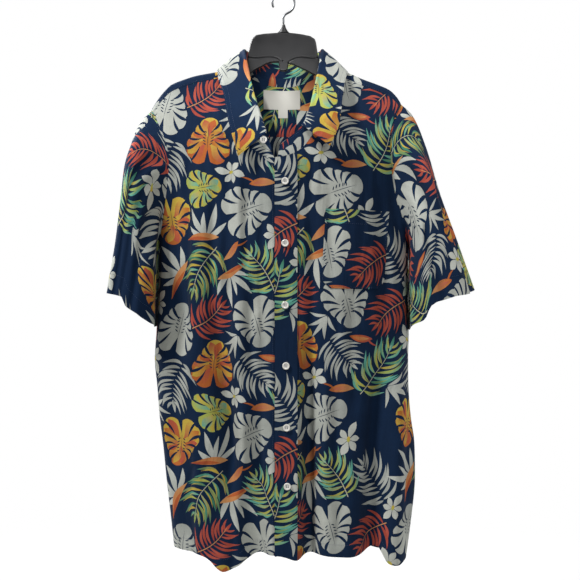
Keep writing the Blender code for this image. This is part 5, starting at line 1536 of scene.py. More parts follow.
def new_finish(name, constants):
    """A material, its node tree and its shader, with the shader's constant inputs set."""
    mat = bpy.data.materials.new(name)
    mat.use_nodes = True
    shader = mat.node_tree.nodes["Principled BSDF"]
    for key, value in constants.items():
        shader.inputs[key].default_value = value
    return mat, mat.node_tree, shader


def solid(code):
    """sRGB hex text to a linear colour with full alpha."""
    return (*linear(code), 1.0)


# %% Printed poplin
def printed_poplin(name, turn=0.0):
    """Plain-weave cotton and rayon with a print: matt, faint sheen, fine weave."""
    mat, tree, shader = new_finish(name, {"Roughness": 0.86, "Specular IOR Level": 0.12,
                                          "Sheen Weight": 0.03, "Sheen Roughness": 0.5})
    ink = add_node(tree, "ShaderNodeAttribute", {"attribute_name": "print"})
    uv = add_node(tree, "ShaderNodeUVMap", {"uv_map": "cloth"})
    place = add_node(tree, "ShaderNodeMapping", {},
                     {"Vector": uv.outputs["UV"],
                      "Rotation": (0.0, 0.0, math.radians(turn))}).outputs["Vector"]
    warp, weft = (add_node(tree, "ShaderNodeTexWave", {"bands_direction": way},
                           {"Vector": place, "Scale": 350.0, "Distortion": 0.6,
                            "Detail": 1.0}) for way in ("X", "Y"))
    weave = add_node(tree, "ShaderNodeMath", {"operation": "MULTIPLY"},
                     {0: warp.outputs["Fac"], 1: weft.outputs["Fac"]})
    slub = add_node(tree, "ShaderNodeTexNoise", {},
                    {"Vector": place, "Scale": 420.0, "Detail": 3.0, "Roughness": 0.6})
    worn = add_node(tree, "ShaderNodeTexNoise", {},
                    {"Vector": place, "Scale": 28.0, "Detail": 3.0, "Roughness": 0.55})
    lighten = add_node(tree, "ShaderNodeMapRange", {},
                       {"Value": worn.outputs["Fac"], "From Min": 0.3, "From Max": 0.7,
                        "To Min": 0.90, "To Max": 1.10})
    thread = add_node(tree, "ShaderNodeMapRange", {},
                      {"Value": slub.outputs["Fac"], "From Min": 0.3, "From Max": 0.7,
                       "To Min": 0.93, "To Max": 1.07})
    tone = add_node(tree, "ShaderNodeMath", {"operation": "MULTIPLY"},
                    {0: lighten.outputs["Result"], 1: thread.outputs["Result"]})
    dyed = add_node(tree, "ShaderNodeVectorMath", {"operation": "SCALE"},
                    {"Vector": ink.outputs["Color"], "Scale": tone.outputs["Value"]})
    tree.links.new(dyed.outputs["Vector"], shader.inputs["Base Color"])
    dents = add_node(tree, "ShaderNodeTexNoise", {},
                     {"Vector": place, "Scale": 16.0, "Detail": 2.0, "Roughness": 0.45})
    soft = add_node(tree, "ShaderNodeBump", {},
                    {"Height": dents.outputs["Fac"], "Strength": 0.35, "Distance": 0.004})
    drawn = add_node(tree, "ShaderNodeMapping", {},
                     {"Vector": place, "Scale": (46.0, 8.0, 1.0)})
    pucker = add_node(tree, "ShaderNodeTexNoise", {},
                      {"Vector": drawn.outputs["Vector"], "Scale": 1.0, "Detail": 2.5,
                       "Roughness": 0.5, "Distortion": 0.4})
    uneven = add_node(tree, "ShaderNodeBump", {},
                      {"Height": pucker.outputs["Fac"], "Strength": 0.5,
                       "Distance": 0.0065, "Normal": soft.outputs["Normal"]})
    fine = add_node(tree, "ShaderNodeBump", {},
                    {"Height": weave.outputs["Value"], "Strength": 0.25,
                     "Distance": 0.0002, "Normal": uneven.outputs["Normal"]})
    tree.links.new(fine.outputs["Normal"], shader.inputs["Normal"])
    return mat


poplin = printed_poplin("printed cotton and rayon poplin")
poplin_across = printed_poplin("printed poplin cut across", 90.0)
print("cloth finishes made")

# %% [markdown]
# ## The body panels
# Two fronts, a back and a yoke over the shoulders make the body. Each has its own part of
# the print, set off and turned a little against its neighbour, because a printed shirt is
# cut without matching the pattern at its seams. The panels meet along the same seam lines
# as the solids, but here the seams are closed: an edge is folded over its neighbour's.

# %% A panel from outline to finished piece
STEP = 4.4            # mm between the points of a panel
SEAM_STEP = 4.0       # mm between the points of its outline
THIN = 0.7            # mm, the cloth as drawn; the real one is about 0.3 mm


def sew_panel(node, outline, lay, step=STEP, shift=(0.0, 0.0), turn=0.0, thick=THIN,
              lift=0.0, fabric=poplin, plain=None, name=None):
    flat, tris, ink = cut_panel(outline, step, shift, turn, plain)
    pos, nrm = lay(*flat.T)
    if callable(lift):
        lift = lift(flat, pos)
    piece = cloth("cloth_" + (name or node), flat, tris, ink, pos, nrm, thick, fabric, lift)
    sewn(piece, node)


# %% Fronts
def under_band(flat, pos):
    """The right front passes under the band, one layer further in."""
    return -(LAP + 0.7) * ease((pos[:, 0] + 28.0) / 12.0)


for side, node, shift, lift in ((-1, "front_right", (-84.0, -360.0), under_band),
                                (1, "front_left", (60.0, -330.0), 0.0)):
    sew_panel(node, shrink(front_outline(side, SEAM_STEP), 0.06), FRONT.at,
              shift=shift, lift=lift)

# %% Back
outline = shrink(back_outline(SEAM_STEP), 0.06)
outline[outline[:, 1] > YOKE_BACK_Z - 0.3, 1] += 4.0        # allowance under the yoke
sew_panel("back", outline, BACK.at, shift=(110.0, -300.0))

# %% Yoke
sew_panel("yoke", shrink(yoke_outline(SEAM_STEP), -0.5), YOKE.at,
          shift=(40.0, 20.0), turn=4.0, thick=THIN + 0.3, lift=0.35)

# %% [markdown]
# ## Sleeves
# A sleeve is cut flat with a bell-shaped head and a straight hem, then closed into a tube
# under the arm. The flat piece is measured from the hem up, so the print stands upright
# at the hem and the bell shape comes by itself from the length at each place round the arm.


# %% Creases of the sleeves
# side, share round the arm (0 shoulder, + front) at the head and hem, from and to down the
# sleeve (0 head, 1 hem), height, half width in share
SLEEVE_CREASES = (
    (-1, 0.10, 0.12, 0.10, 1.3, 4, 0.035), (-1, 0.18, 0.19, 0.00, 1.2, -4.5, 0.028),
    (-1, 0.25, 0.25, 0.20, 1.3, 2.6, 0.028), (-1, 0.31, 0.30, 0.10, 1.3, -4.5, 0.026),
    (-1, 0.375, 0.37, 0.00, 1.3, 8, 0.032),
    (-1, 0.03, 0.05, 0.30, 1.2, -2.6, 0.024), (-1, -0.12, -0.10, 0.15, 1.2, -3.6, 0.030),
    (-1, -0.22, -0.24, 0.10, 1.2, 3.4, 0.030), (-1, -0.33, -0.31, 0.20, 1.1, -3.2, 0.030),
    (1, 0.08, 0.10, 0.15, 1.2, -3.4, 0.030), (1, 0.17, 0.16, 0.05, 1.1, 3.6, 0.030),
    (1, 0.26, 0.24, 0.10, 1.3, -4.2, 0.030), (1, 0.35, 0.33, 0.20, 1, 3, 0.028),
    (1, -0.09, -0.10, 0.20, 1.2, 3.2, 0.030), (1, -0.20, -0.21, 0.10, 1.2, -3.8, 0.030),
    (1, -0.31, -0.30, 0.15, 1.1, 3, 0.030),
)


def sleeve_creases(side, share, rows):
    """Height of the creases on the rows and columns of a sleeve."""
    down = np.linspace(0, 1, rows)[:, None]
    total = np.zeros((rows, len(share)))
    for which, head, hem, start, stop, high, half in SLEEVE_CREASES:
        if which != side:
            continue
        place = head + (hem - head) * down + 0.012 * np.sin(5.0 * down + head * 40)
        reach = ease((down - start) / 0.25) * ease((stop - down) / 0.25)
        total += high * reach * np.exp(-((share[None] - place) / half) ** 2)
    return total


# %% A sleeve's form at any place round it and down it
def on_grid(grid, normal, row, col):
    """Points and facings at fractional rows and columns of a grid."""
    r, c = row.astype(int), col.astype(int)
    a, b = (row - r)[:, None], (col - c)[:, None]
    pos, nrm = ((data[r, c] * (1 - b) + data[r, c + 1] * b) * (1 - a)
                + (data[r + 1, c] * (1 - b) + data[r + 1, c + 1] * b) * a
                for data in (grid, normal))
    return pos, unit(nrm)


class SleeveForm:
    """Lookup of a sleeve by run round the arm (0 at the shoulder line) and rise."""

    def __init__(self, side, rows=56):
        pos, nrm, away = armhole_loop(side, 3.0)
        share = sleeve_shares(pos)
        grid, seam_normal = sleeve_grid(side, 3.0, rows)
        under = int(np.argmin(np.abs(share - 0.5)))
        order = np.r_[under:len(share), 0:under + 1]
        signed = both_ways(share)[order]
        signed[0], signed[-1] = -0.5, 0.5
        grid = grid[:, order]
        grid[0] = (pos - away * 1.6 - nrm * 1.05)[order]
        grid[1] = grid[1] * 0.5 + (pos + away * 4.0 - nrm * 0.2)[order] * 0.5
        normal = self.facing(grid)
        grid = grid + normal * sleeve_creases(side, signed, rows)[:, :, None]
        normal = self.facing(grid)
        normal[0] = normal[0] * 0.5 + seam_normal[order] * 0.5
        self.share, self.grid, self.normal = signed, grid, normal
        self.length = np.linalg.norm(np.diff(grid, axis=0), axis=2).sum(axis=0)
        self.girth = np.linalg.norm(np.diff(grid[-1], axis=0), axis=1).sum()

    @staticmethod
    def facing(grid):
        """Outward facings of the closed tube."""
        wide = np.concatenate([grid[:, -2:-1], grid, grid[:, 1:2]], axis=1)
        normal = surface_normals(wide)[:, 1:-1]
        middle = grid.mean(axis=1, keepdims=True)
        return -normal if np.mean(np.sum(normal * (grid - middle), axis=2)) < 0 else normal

    def outline(self):
        """The flat sleeve: its bell-shaped head over a straight hem."""
        top = np.column_stack([self.share * self.girth, self.length])
        hem = np.array([(0.5 * self.girth, 0.0), (-0.5 * self.girth, 0.0)])
        return np.vstack([top, hem])

    def at(self, run, rise):
        """Points and facings at the runs round the arm and the rises from the hem."""
        share = np.clip(run / self.girth, -0.5, 0.5)
        length = np.interp(share, self.share, self.length)
        row = np.clip(1 - rise / length, 0, 1) * (len(self.grid) - 1.001)
        col = np.interp(share, self.share, np.arange(len(self.share)))
        col = np.clip(col, 0, len(self.share) - 1.001)
        return on_grid(self.grid, self.normal, row, col)


# %% Cut and close the sleeves
SLEEVES = {}
for side, node, shift, turn in ((-1, "sleeve_right", (-20.0, 40.0), 8.0),
                                (1, "sleeve_left", (70.0, -20.0), -10.0)):
    form = SLEEVES[node] = SleeveForm(side)
    sew_panel(node, form.outline(), form.at, shift=shift, turn=turn)

# %% [markdown]
# ## The collar
# A shirt collar is two pieces: a stand that rises from the neck seam, and a leaf that turns
# over the top of the stand and falls down to its points. Both are double cloth, so they are
# thicker than the panels, and they are laid on rows of points that follow the roll line.


# %% A form made of rows of points
class RowForm:
    """Lookup of a grid of points by run along its last row and depth down the rows."""

    def __init__(self, grid, normal):
        self.grid, self.normal = grid, normal
        self.run = run_of(grid[-1])
        down = np.linalg.norm(np.diff(grid, axis=0), axis=2)
        self.deep = np.vstack([np.zeros(grid.shape[1]), np.cumsum(down, axis=0)])

    def outline(self):
        """The flat strip, its top edge straight."""
        foot = np.column_stack([self.run, self.deep[-1]])
        top = np.column_stack([self.run, np.zeros(len(self.run))])
        return np.vstack([foot, top[::-1]])

    def at(self, run, deep):
        """Points and facings at the runs and depths."""
        col = np.clip(np.interp(run, self.run, np.arange(len(self.run))), 0,
                      len(self.run) - 1.001)
        c = col.astype(int)
        row = np.zeros(len(run))
        for k in np.unique(c):
            pick = c == k
            part = (col[pick] - k)[:, None]
            deeps = self.deep[:, k] * (1 - part) + self.deep[:, k + 1] * part
            for i, (d, known) in zip(np.nonzero(pick)[0], zip(deep[pick], deeps)):
                row[i] = np.interp(d, known, np.arange(len(known)))
        return on_grid(self.grid, self.normal, np.clip(row, 0, len(self.grid) - 1.001), col)

    def foot(self, run):
        """Depth of the last row at the runs."""
        return np.interp(run, self.run, self.deep[-1])


# %% Stand and leaf
COLLAR_STEP = 3.2                 # mm between the points of the collar's pieces
COLLAR_THICK = 1.0
TURN_ROWS, FALL_ROWS = 11, 18     # rows of the leaf over the roll and down to its edge
TIP_LIFT = 7.0                    # the points of the leaf stand off the fronts

shares = collar_shares(170)
stand_rows, seam_normal = stand_grid(shares, 13)
stand_form = RowForm(stand_rows, stand_normals(stand_rows, seam_normal))
sew_panel("collar_stand", stand_form.outline(), stand_form.at, COLLAR_STEP,
          (30.0, -60.0), 90.0, COLLAR_THICK, fabric=poplin_across)

leaf_rows, leaf_normal = leaf_grid(shares, TURN_ROWS, FALL_ROWS)
fallen = (np.arange(len(leaf_rows)) - TURN_ROWS) / (FALL_ROWS - 1.0)
down = np.clip(fallen, 0, 1)[:, None] ** 1.6
own = np.linspace(0, 1, leaf_rows.shape[1])[None]
near = np.exp(-(np.minimum(own, 1 - own) / 0.11) ** 2)
leaf_rows = leaf_rows + leaf_normal * (TIP_LIFT * down * near)[:, :, None]
leaf_form = RowForm(leaf_rows, leaf_normal)
sew_panel("collar_leaf", leaf_form.outline(), leaf_form.at,
          COLLAR_STEP, (192.0, 56.0), 180.0, COLLAR_THICK, fabric=poplin_across)

# %% [markdown]
# ## Front band and pocket
# The front band is a strip of double cloth sewn on the wearer's left front. The pocket is
# a single piece with pressed-in edges, sewn round three sides; its mouth stands a little
# off the shirt, which is what makes a pocket readable in a busy print.

# %% Front band
top = curve(NECK_FRONT[1], step=0.5)
top = even(np.vstack([top[top[:, 0] < BAND_RIGHT], [(BAND_LEFT, -272.2)]]), step=SEAM_STEP)
foot = hem_line(HEM_FRONT, BAND_LEFT, BAND_RIGHT, SEAM_STEP)
left_edge = straight(top[-1], foot[0], SEAM_STEP)
right_edge = straight(foot[-1], top[0], SEAM_STEP)
outline = join(*[to_runs(FRONT, line) for line in (top, left_edge, foot, right_edge)])
sew_panel("placket", shrink(outline, 0.1), FRONT.at, 3.6,
          (-120.0, -210.0), thick=1.25, lift=LAP + 0.1, name="front_band")

# %% Pocket
corners = np.array(POCKET)
sides = [straight(corners[i], corners[(i + 1) % len(corners)], SEAM_STEP)
         for i in range(len(corners))]
outline = join(*[to_runs(FRONT, s) for s in sides])
POCKET_SEWN = outline[len(sides[0]) - 1:]


def pocket_lift(flat, pos):
    """How far the pocket stands off the shirt: most at the middle of its mouth."""
    sewn_edge = distance(POCKET_SEWN, flat, closed=True)
    mouth = ease((pos[:, 2] + 425.0) / 70.0)
    return 0.85 + 0.35 * ease(sewn_edge / 6.0) + 1.7 * mouth * ease(sewn_edge / 40.0)


sew_panel("pocket", outline, FRONT.at, 3.8, (40.0, -250.0), -3.0,
          lift=pocket_lift)

# %% [markdown]
# ## Labels
# A woven label and a small tab are sewn inside the back neck. They are bare here. Their
# satin ground is smoother than the shirt's cloth and shines a little.

# %% Label satin
def label_satin(name, colour):
    """White satin-woven label tape: smooth, faint shine, fine ribs across."""
    mat, tree, shader = new_finish(name, {"Base Color": solid(colour), "Roughness": 0.55,
                                          "Sheen Weight": 0.15})
    uv = add_node(tree, "ShaderNodeUVMap", {"uv_map": "cloth"})
    rib = add_node(tree, "ShaderNodeTexWave", {"bands_direction": "Y"},
                   {"Vector": uv.outputs["UV"], "Scale": 420.0, "Distortion": 0.3})
    bump = add_node(tree, "ShaderNodeBump", {},
                    {"Height": rib.outputs["Fac"], "Strength": 0.3, "Distance": 0.0002})
    tree.links.new(bump.outputs["Normal"], shader.inputs["Normal"])
    return mat


satin = label_satin("white woven label satin", "#bbb9b1")
print("label satin made")


# %% Labels inside the yoke
LABEL_STEP = 2.5      # mm between the points of a label


def inner_label(node, x0, x1, z_top, z_bot, depth, sag):
    """Flat label inside the back neck, its lower edge hanging a little free."""
    def lay(x, z):
        return YOKE.at(x, YOKE.run_at(x, z, False))

    def hang(flat, pos):
        return -depth - sag * ((z_top - flat[:, 1]) / (z_top - z_bot)) ** 2

    edge = np.array([(x0, z_bot), (x1, z_bot), (x1, z_top), (x0, z_top)])
    sew_panel(node, dense(edge, LABEL_STEP), lay, LABEL_STEP, thick=0.5,
              lift=hang, fabric=satin, plain="white")


inner_label("brand_label", -34.0, 28.0, -149.0, -180.0, LAP + 1.0, 0.8)
inner_label("size_tab", -9.4, 7.0, -176.0, -193.5, LAP + 2.4, 0.5)

# %% [markdown]
# ## Buttons
# Shirt buttons are turned from cast polyester that copies shell: white, with a raised rim,
# a dished middle and four holes. One button is cut flat with its holes, and its faces are
# raised by a profile of the radius. Then it is set on the band, facing as the cloth does.

# %% Cast button resin
resin, tree, shader = new_finish("white cast polyester button", {
    "Roughness": 0.22, "IOR": 1.54, "Coat Weight": 0.25, "Coat Roughness": 0.12})
coords = add_node(tree, "ShaderNodeTexCoord")
cloud = add_node(tree, "ShaderNodeTexNoise", {},
                 {"Vector": coords.outputs["Object"], "Scale": 260.0, "Detail": 3.0,
                  "Distortion": 1.2})
pearl = add_node(tree, "ShaderNodeMix", {"data_type": "RGBA"},
                 {0: cloud.outputs["Fac"], 6: solid("#dedbd2"), 7: solid("#f4f2ec")})
tree.links.new(pearl.outputs[2], shader.inputs["Base Color"])
print("button resin made")

# %% One button's flat cut and profile
HOLE_OFF, HOLE_R = 1.35, 0.72     # the four holes, off the middle across and up
PROFILE_R = (0.0, 2.4, 3.0, 3.6, 4.3, 4.9, 5.3, 5.55, 5.7)
PROFILE_FRONT = (0.55, 0.55, 0.62, 0.95, 1.16, 1.2, 1.08, 0.8, 0.25)
PROFILE_BACK = (-0.75, -0.78, -0.82, -0.9, -1.0, -1.02, -0.9, -0.6, -0.15)


def button_cut():
    """Flat points and triangles of a button with its holes left out."""
    pts, faces = [], [list(range(40))]
    for r in PROFILE_R[:0:-1]:
        a = circle(40 if r > 3.2 else 28)
        pts.extend(np.column_stack([r * np.cos(a), r * np.sin(a)]).tolist())
    a = circle(12)
    hole = HOLE_R * np.column_stack([np.cos(a), np.sin(a)])
    for side, up in ((-1, -1), (-1, 1), (1, -1), (1, 1)):
        faces.append(list(range(len(pts), len(pts) + 12)))
        pts.extend((hole + (side * HOLE_OFF, up * HOLE_OFF)).tolist())
    out, co, tris = triangulate(pts, [], faces, 1e-5, True)
    return co, tris[[over == [0] for over in out[5]]]


BUTTON_FLAT, BUTTON_TRIS = button_cut()
print("a button's face has", len(BUTTON_TRIS), "triangles")


# %% One button in place
def button_mesh(at, facing):
    """Points and faces of one button with its back on the point."""
    n = unit(facing)
    right = unit(np.cross((0.0, 0.0, 1.0), n))
    up = np.cross(n, right)
    centre = at + n * (GAP + BUTTON_T / 2)
    radius = np.linalg.norm(BUTTON_FLAT, axis=1)
    base = centre + BUTTON_FLAT[:, :1] * right + BUTTON_FLAT[:, 1:] * up
    front = base + n * np.interp(radius, PROFILE_R, PROFILE_FRONT)[:, None]
    back = base + n * np.interp(radius, PROFILE_R, PROFILE_BACK)[:, None]
    tris = BUTTON_TRIS
    a, b, c = (front[tris[:, k]] for k in range(3))
    if np.sum(np.cross(b - a, c - a) @ n) < 0:
        tris = tris[:, ::-1]
    faces = shell_faces(tris, len(base))[0]
    return np.vstack([front, back]), faces, (centre, n, right, up)


def plain_mesh(name, verts, faces, material):
    """Object at the origin from points in millimetres, smooth but for its sharp edges."""
    mesh = bpy.data.meshes.new(name)
    mesh.from_pydata((np.asarray(verts) / 1000.0).tolist(), [], faces)
    mesh.update()
    mesh.shade_smooth()
    mesh.set_sharp_from_angle(angle=math.radians(38))
    mesh.materials.append(material)
    return placed(name, mesh)


print("button maker ready")


# %% Set the buttons
def set_button(node, at, facing):
    """Put one button on the cloth; gives its place for the threads."""
    verts, faces, place = button_mesh(at, facing)
    stands_for(plain_mesh("shirt_" + node, verts, faces, resin), node)
    return place


BUTTON_PLACES = []
for k, (x, z) in enumerate(zip(BUTTON_X, BUTTON_Z), 1):
    run = FRONT.run_at(np.array([x]), np.array([z]))
    pos, nrm = FRONT.at(run, np.array([z]))
    BUTTON_PLACES.append(set_button("button_%d" % k, pos[0] + nrm[0] * (LAP + 0.1), nrm[0]))

grid, _ = stand_grid(np.linspace(0, 1, 401), 9)
i = 14                            # column of the grid under the stand's button
facing = unit(np.cross(grid[4, i + 2] - grid[4, i - 2], grid[5, i] - grid[3, i]))
if facing[1] > 0:
    facing = -facing
BUTTON_PLACES.append(set_button("button_collar", grid[4, i] + facing * 0.3, facing))
print(len(BUTTON_PLACES), "buttons of", BUTTON_D, "mm")

# %% [markdown]
# ## Stitching
# Every row of stitches is a line of points on the cloth, with the way that the cloth faces
# stored at each point. A geometry node group walks along the line, sets a stitch at each
# step, turns it along the line and lays it on the cloth. Its inputs are named, so the same
# group makes hems, edges and buttonholes. Each result is turned into a plain mesh.

# %% Thread finish
def thread_finish(name, colour):
    """Spun polyester sewing thread: soft, a little shiny, twisted."""
    mat, tree, shader = new_finish(name, {"Roughness": 0.6, "Sheen Weight": 0.2})
    coords = add_node(tree, "ShaderNodeTexCoord")
    fuzz = add_node(tree, "ShaderNodeTexNoise", {},
                    {"Vector": coords.outputs["Object"], "Scale": 3000.0, "Detail": 2.0})
    dyed = np.array(linear(colour))
    tone = add_node(tree, "ShaderNodeMix", {"data_type": "RGBA"},
                    {0: fuzz.outputs["Fac"], 6: (*(dyed * 0.7), 1.0),
                     7: (*(dyed * 1.25), 1.0)})
    tree.links.new(tone.outputs[2], shader.inputs["Base Color"])
    bump = add_node(tree, "ShaderNodeBump", {},
                    {"Height": fuzz.outputs["Fac"], "Strength": 0.5, "Distance": 0.00005})
    tree.links.new(bump.outputs["Normal"], shader.inputs["Normal"])
    return mat


navy_thread = thread_finish("navy sewing thread", "#26395e")
white_thread = thread_finish("white sewing thread", "#d6d4ca")
print("threads made")


# %% The node group
def stitch_group():
    """Geometry nodes: a line of points in, a row of stitches out."""
    group = bpy.data.node_groups.new("row of stitches", "GeometryNodeTree")
    face = group.interface
    face.new_socket("Line", in_out="INPUT", socket_type="NodeSocketGeometry")
    for label, value in (("Pitch", 0.0033), ("Stitch length", 0.0025),
                         ("Thread radius", 0.00017), ("Turn", 0.0)):
        face.new_socket(label, in_out="INPUT",
                        socket_type="NodeSocketFloat").default_value = value
    face.new_socket("Seed", in_out="INPUT", socket_type="NodeSocketInt").default_value = 3
    face.new_socket("Thread", in_out="INPUT", socket_type="NodeSocketMaterial")
    face.new_socket("Stitches", in_out="OUTPUT", socket_type="NodeSocketGeometry")
    given = add_node(group, "NodeGroupInput").outputs
    line = add_node(group, "GeometryNodeMeshToCurve", {}, {"Mesh": given["Line"]})
    steps = add_node(group, "GeometryNodeResampleCurve", {"mode": "LENGTH"},
                     {"Curve": line.outputs["Curve"], "Length": given["Pitch"]})
    facing = add_node(group, "GeometryNodeInputNamedAttribute",
                      {"data_type": "FLOAT_VECTOR"}, {"Name": "facing"})
    tangent = add_node(group, "GeometryNodeInputTangent")
    ahead = add_node(group, "FunctionNodeAlignRotationToVector", {"axis": "X"},
                     {"Vector": tangent.outputs["Tangent"]})
    laid = add_node(group, "FunctionNodeAlignRotationToVector",
                    {"axis": "Z", "pivot_axis": "X"},
                    {"Rotation": ahead.outputs["Rotation"],
                     "Vector": facing.outputs["Attribute"]})
    about = add_node(group, "FunctionNodeAxisAngleToRotation", {}, {"Angle": given["Turn"]})
    turned = add_node(group, "FunctionNodeRotateRotation", {"rotation_space": "LOCAL"},
                      {"Rotation": laid.outputs["Rotation"],
                       "Rotate By": about.outputs["Rotation"]})
    ball = add_node(group, "GeometryNodeMeshUVSphere", {},
                    {"Segments": 6, "Rings": 4, "Radius": 1.0})
    vary = add_node(group, "FunctionNodeRandomValue", {"data_type": "FLOAT"},
                    {"Seed": given["Seed"], 2: 0.42, 3: 0.54})
    long = add_node(group, "ShaderNodeMath", {"operation": "MULTIPLY"},
                    {0: given["Stitch length"], 1: vary.outputs[1]})
    size = add_node(group, "ShaderNodeCombineXYZ", {},
                    {"X": long.outputs["Value"], "Y": given["Thread radius"],
                     "Z": given["Thread radius"]})
    row = add_node(group, "GeometryNodeInstanceOnPoints", {},
                   {"Points": steps.outputs["Curve"], "Instance": ball.outputs["Mesh"],
                    "Rotation": turned.outputs["Rotation"],
                    "Scale": size.outputs["Vector"]})
    real = add_node(group, "GeometryNodeRealizeInstances", {},
                    {"Geometry": row.outputs["Instances"]})
    dyed = add_node(group, "GeometryNodeSetMaterial", {},
                    {"Geometry": real.outputs["Geometry"], "Material": given["Thread"]})
    add_node(group, "NodeGroupOutput", {}, {"Stitches": dyed.outputs["Geometry"]})
    return group


STITCHES = stitch_group()
print("node group inputs:", [s.name for s in STITCHES.interface.items_tree
                             if s.in_out == "INPUT"])


# %% Sew a piece's rows
def sew(name, slot, rows, thread=navy_thread, **settings):
    """Make all rows of stitches of one piece; a row is its points and facings in mm."""
    points, facings, edges = [], [], []
    for pos, nrm in rows:
        first = len(points)
        points.extend((pos / 1000.0).tolist())
        facings.extend(nrm.tolist())
        edges += [(k, k + 1) for k in range(first, len(points) - 1)]
    mesh = bpy.data.meshes.new(name + "_line")
    mesh.from_pydata(points, edges, [])
    layer = mesh.attributes.new("facing", "FLOAT_VECTOR", "POINT")
    layer.data.foreach_set("vector", np.array(facings, np.float32).ravel())
    line = placed(name + "_line", mesh)
    nodes = line.modifiers.new("stitches", "NODES")
    nodes.node_group = STITCHES
    settings["Thread"] = thread
    for item in STITCHES.interface.items_tree:
        if item.in_out == "INPUT" and item.name in settings:
            nodes[item.identifier] = settings[item.name]
    done = bpy.data.meshes.new_from_object(
        line.evaluated_get(bpy.context.evaluated_depsgraph_get()))
    bpy.data.objects.remove(line, do_unlink=True)
    done.name = name
    done.shade_smooth()
    if not done.materials:
        done.materials.append(thread)
    obj = placed(name, done)
    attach(obj, "root")
    print("%-24s %6d triangles" % (name, sum(len(p.vertices) - 2 for p in done.polygons)))


def on_chart(chart, line, lift):
    """Row of points on a body panel from (x, z) points."""
    pos, nrm = chart.at(*to_runs(chart, line).T)
    return pos + nrm * lift, nrm


# %% Fronts and back
SEWN_STEP = 3.0        # mm between the points of a row
HEM_UP = 19.0         # the hem is turned up this far
ON_CLOTH = 0.1        # threads lie this far off the cloth

right, left = side_x(-1, HEM_SIDE) + 3.0, side_x(1, HEM_SIDE) - 3.0
for node, chart, hem, start, end in (
        ("front_right", FRONT, HEM_FRONT, right, -24.0),
        ("front_left", FRONT, HEM_FRONT, BAND_LEFT + 1.0, left),
        ("back", BACK, HEM_BACK, right, side_x(1, HEM_SIDE_BACK) - 3.0)):
    row = hem_line(hem, start, end, SEWN_STEP) + (0.0, HEM_UP)
    sew("stitches_" + node, node, [on_chart(chart, row, ON_CLOTH)])

# %% Yoke seams
rows = []
for side in (1, -1):
    seam = yoke_front_seam(side, SEWN_STEP)[0][1:-1]
    pos, nrm = YOKE.at(seam[:, 0], YOKE.run_at(seam[:, 0], seam[:, 1], True) - 2.0)
    rows.append((pos + nrm * 0.45, nrm))
left, right = armhole_parts(-1, 4.0)[3][0], armhole_parts(1, 4.0)[3][0]
xs = np.linspace(min(left[0], right[0]) + 4.0, max(left[0], right[0]) - 4.0, 120)
run = YOKE.run_at(xs, np.full(120, YOKE_BACK_Z), False)
pos, nrm = YOKE.at(xs, run + 2.0 * np.sign(-run))
rows.append((pos + nrm * 0.45, nrm))
sew("stitches_yoke", "yoke", rows)

# %% Sleeve hems
for node, form in SLEEVES.items():
    run = np.linspace(-0.497, 0.497, 160) * form.girth
    pos, nrm = form.at(run, np.full(160, 25.0))
    sew("stitches_" + node, node, [(pos + nrm * ON_CLOTH, nrm)])

# %% Collar
def on_form(form, run, deep):
    """Row of points on a part of the collar."""
    pos, nrm = form.at(run, deep)
    return pos + nrm * ON_CLOTH, nrm


ends = (5.0, leaf_form.run[-1] - 5.0)
run = np.linspace(*ends, 240)
rows = [on_form(leaf_form, run, leaf_form.foot(run) - up) for up in (2.0, 8.0)]
for end in ends:
    full = float(leaf_form.foot(end))
    rows.append(on_form(leaf_form, np.full(30, end),
                        np.linspace(full * 0.45, full - 8.0, 30)))
sew("stitches_collar_leaf", "collar_leaf", rows)
run = np.linspace(3.0, stand_form.run[-1] - 3.0, 200)
sew("stitches_collar_stand", "collar_stand",
    [on_form(stand_form, run, stand_form.foot(run) - 2.4)])

# %% Band, pocket and labels
rows = [on_chart(FRONT, line[2:-2] + (inward, 0.0), LAP + 0.2)
        for line, inward in ((left_edge, -2.6), (right_edge[::-1], 2.6))]
sew("stitches_band", "placket", rows)


def pocket_row(line):
    """Row on the pocket, which stands off the shirt as the pocket does."""
    runs = to_runs(FRONT, line)
    pos, nrm = FRONT.at(*runs.T)
    return pos + nrm * (pocket_lift(runs, pos)[:, None] + ON_CLOTH), nrm


inner = shrink(corners, 2.2)
rows = [pocket_row(straight(inner[k], inner[(k + 1) % len(inner)], SEWN_STEP))
        for k in range(1, len(inner))]
rows.append(pocket_row(straight(inner[0], inner[1], SEWN_STEP) - (0.0, 20.0)))
sew("stitches_pocket", "pocket", rows)

xs, z = np.linspace(-32.6, 26.6, 60), -150.2
pos, nrm = YOKE.at(xs, YOKE.run_at(xs, np.full(60, z), False))
sag = 0.8 * ((-149.0 - z) / 31.0) ** 2
sew("stitches_label", "brand_label", [(pos - nrm * (LAP + 1.55 + sag), -nrm)], white_thread)

# %% Buttonholes and button threads
rows = []
a = np.linspace(0, 2 * math.pi, 60)
for centre, n, *_ in BUTTON_PLACES[:-1]:
    foot = centre - n * (GAP + BUTTON_T / 2)
    z = foot[2] + 7.6 * np.sin(a) * (0.9 + 0.1 * np.abs(np.sin(a)))
    pos, nrm = FRONT.at(FRONT.run_at(foot[0] + 1.1 * np.cos(a), z), z)
    rows.append((pos + nrm * (LAP + 0.2), nrm))
sew("buttonholes", "placket", rows,
    **{"Pitch": 0.0007, "Turn": math.pi / 2, "Stitch length": 0.0019})

rows = []
t = np.linspace(-1, 1, 9)
lift = 0.62 + 0.16 * (1 - t ** 2)
for centre, n, right, up in BUTTON_PLACES:
    for side in (-1, 1):
        pos = (centre + right * (HOLE_OFF * side) + up * (HOLE_OFF * t)[:, None]
               + n * lift[:, None])
        rows.append((pos, np.tile(n, (9, 1))))
sew("button_threads", "button_1", rows,
    **{"Pitch": 0.0006, "Stitch length": 0.0011, "Thread radius": 0.00026})

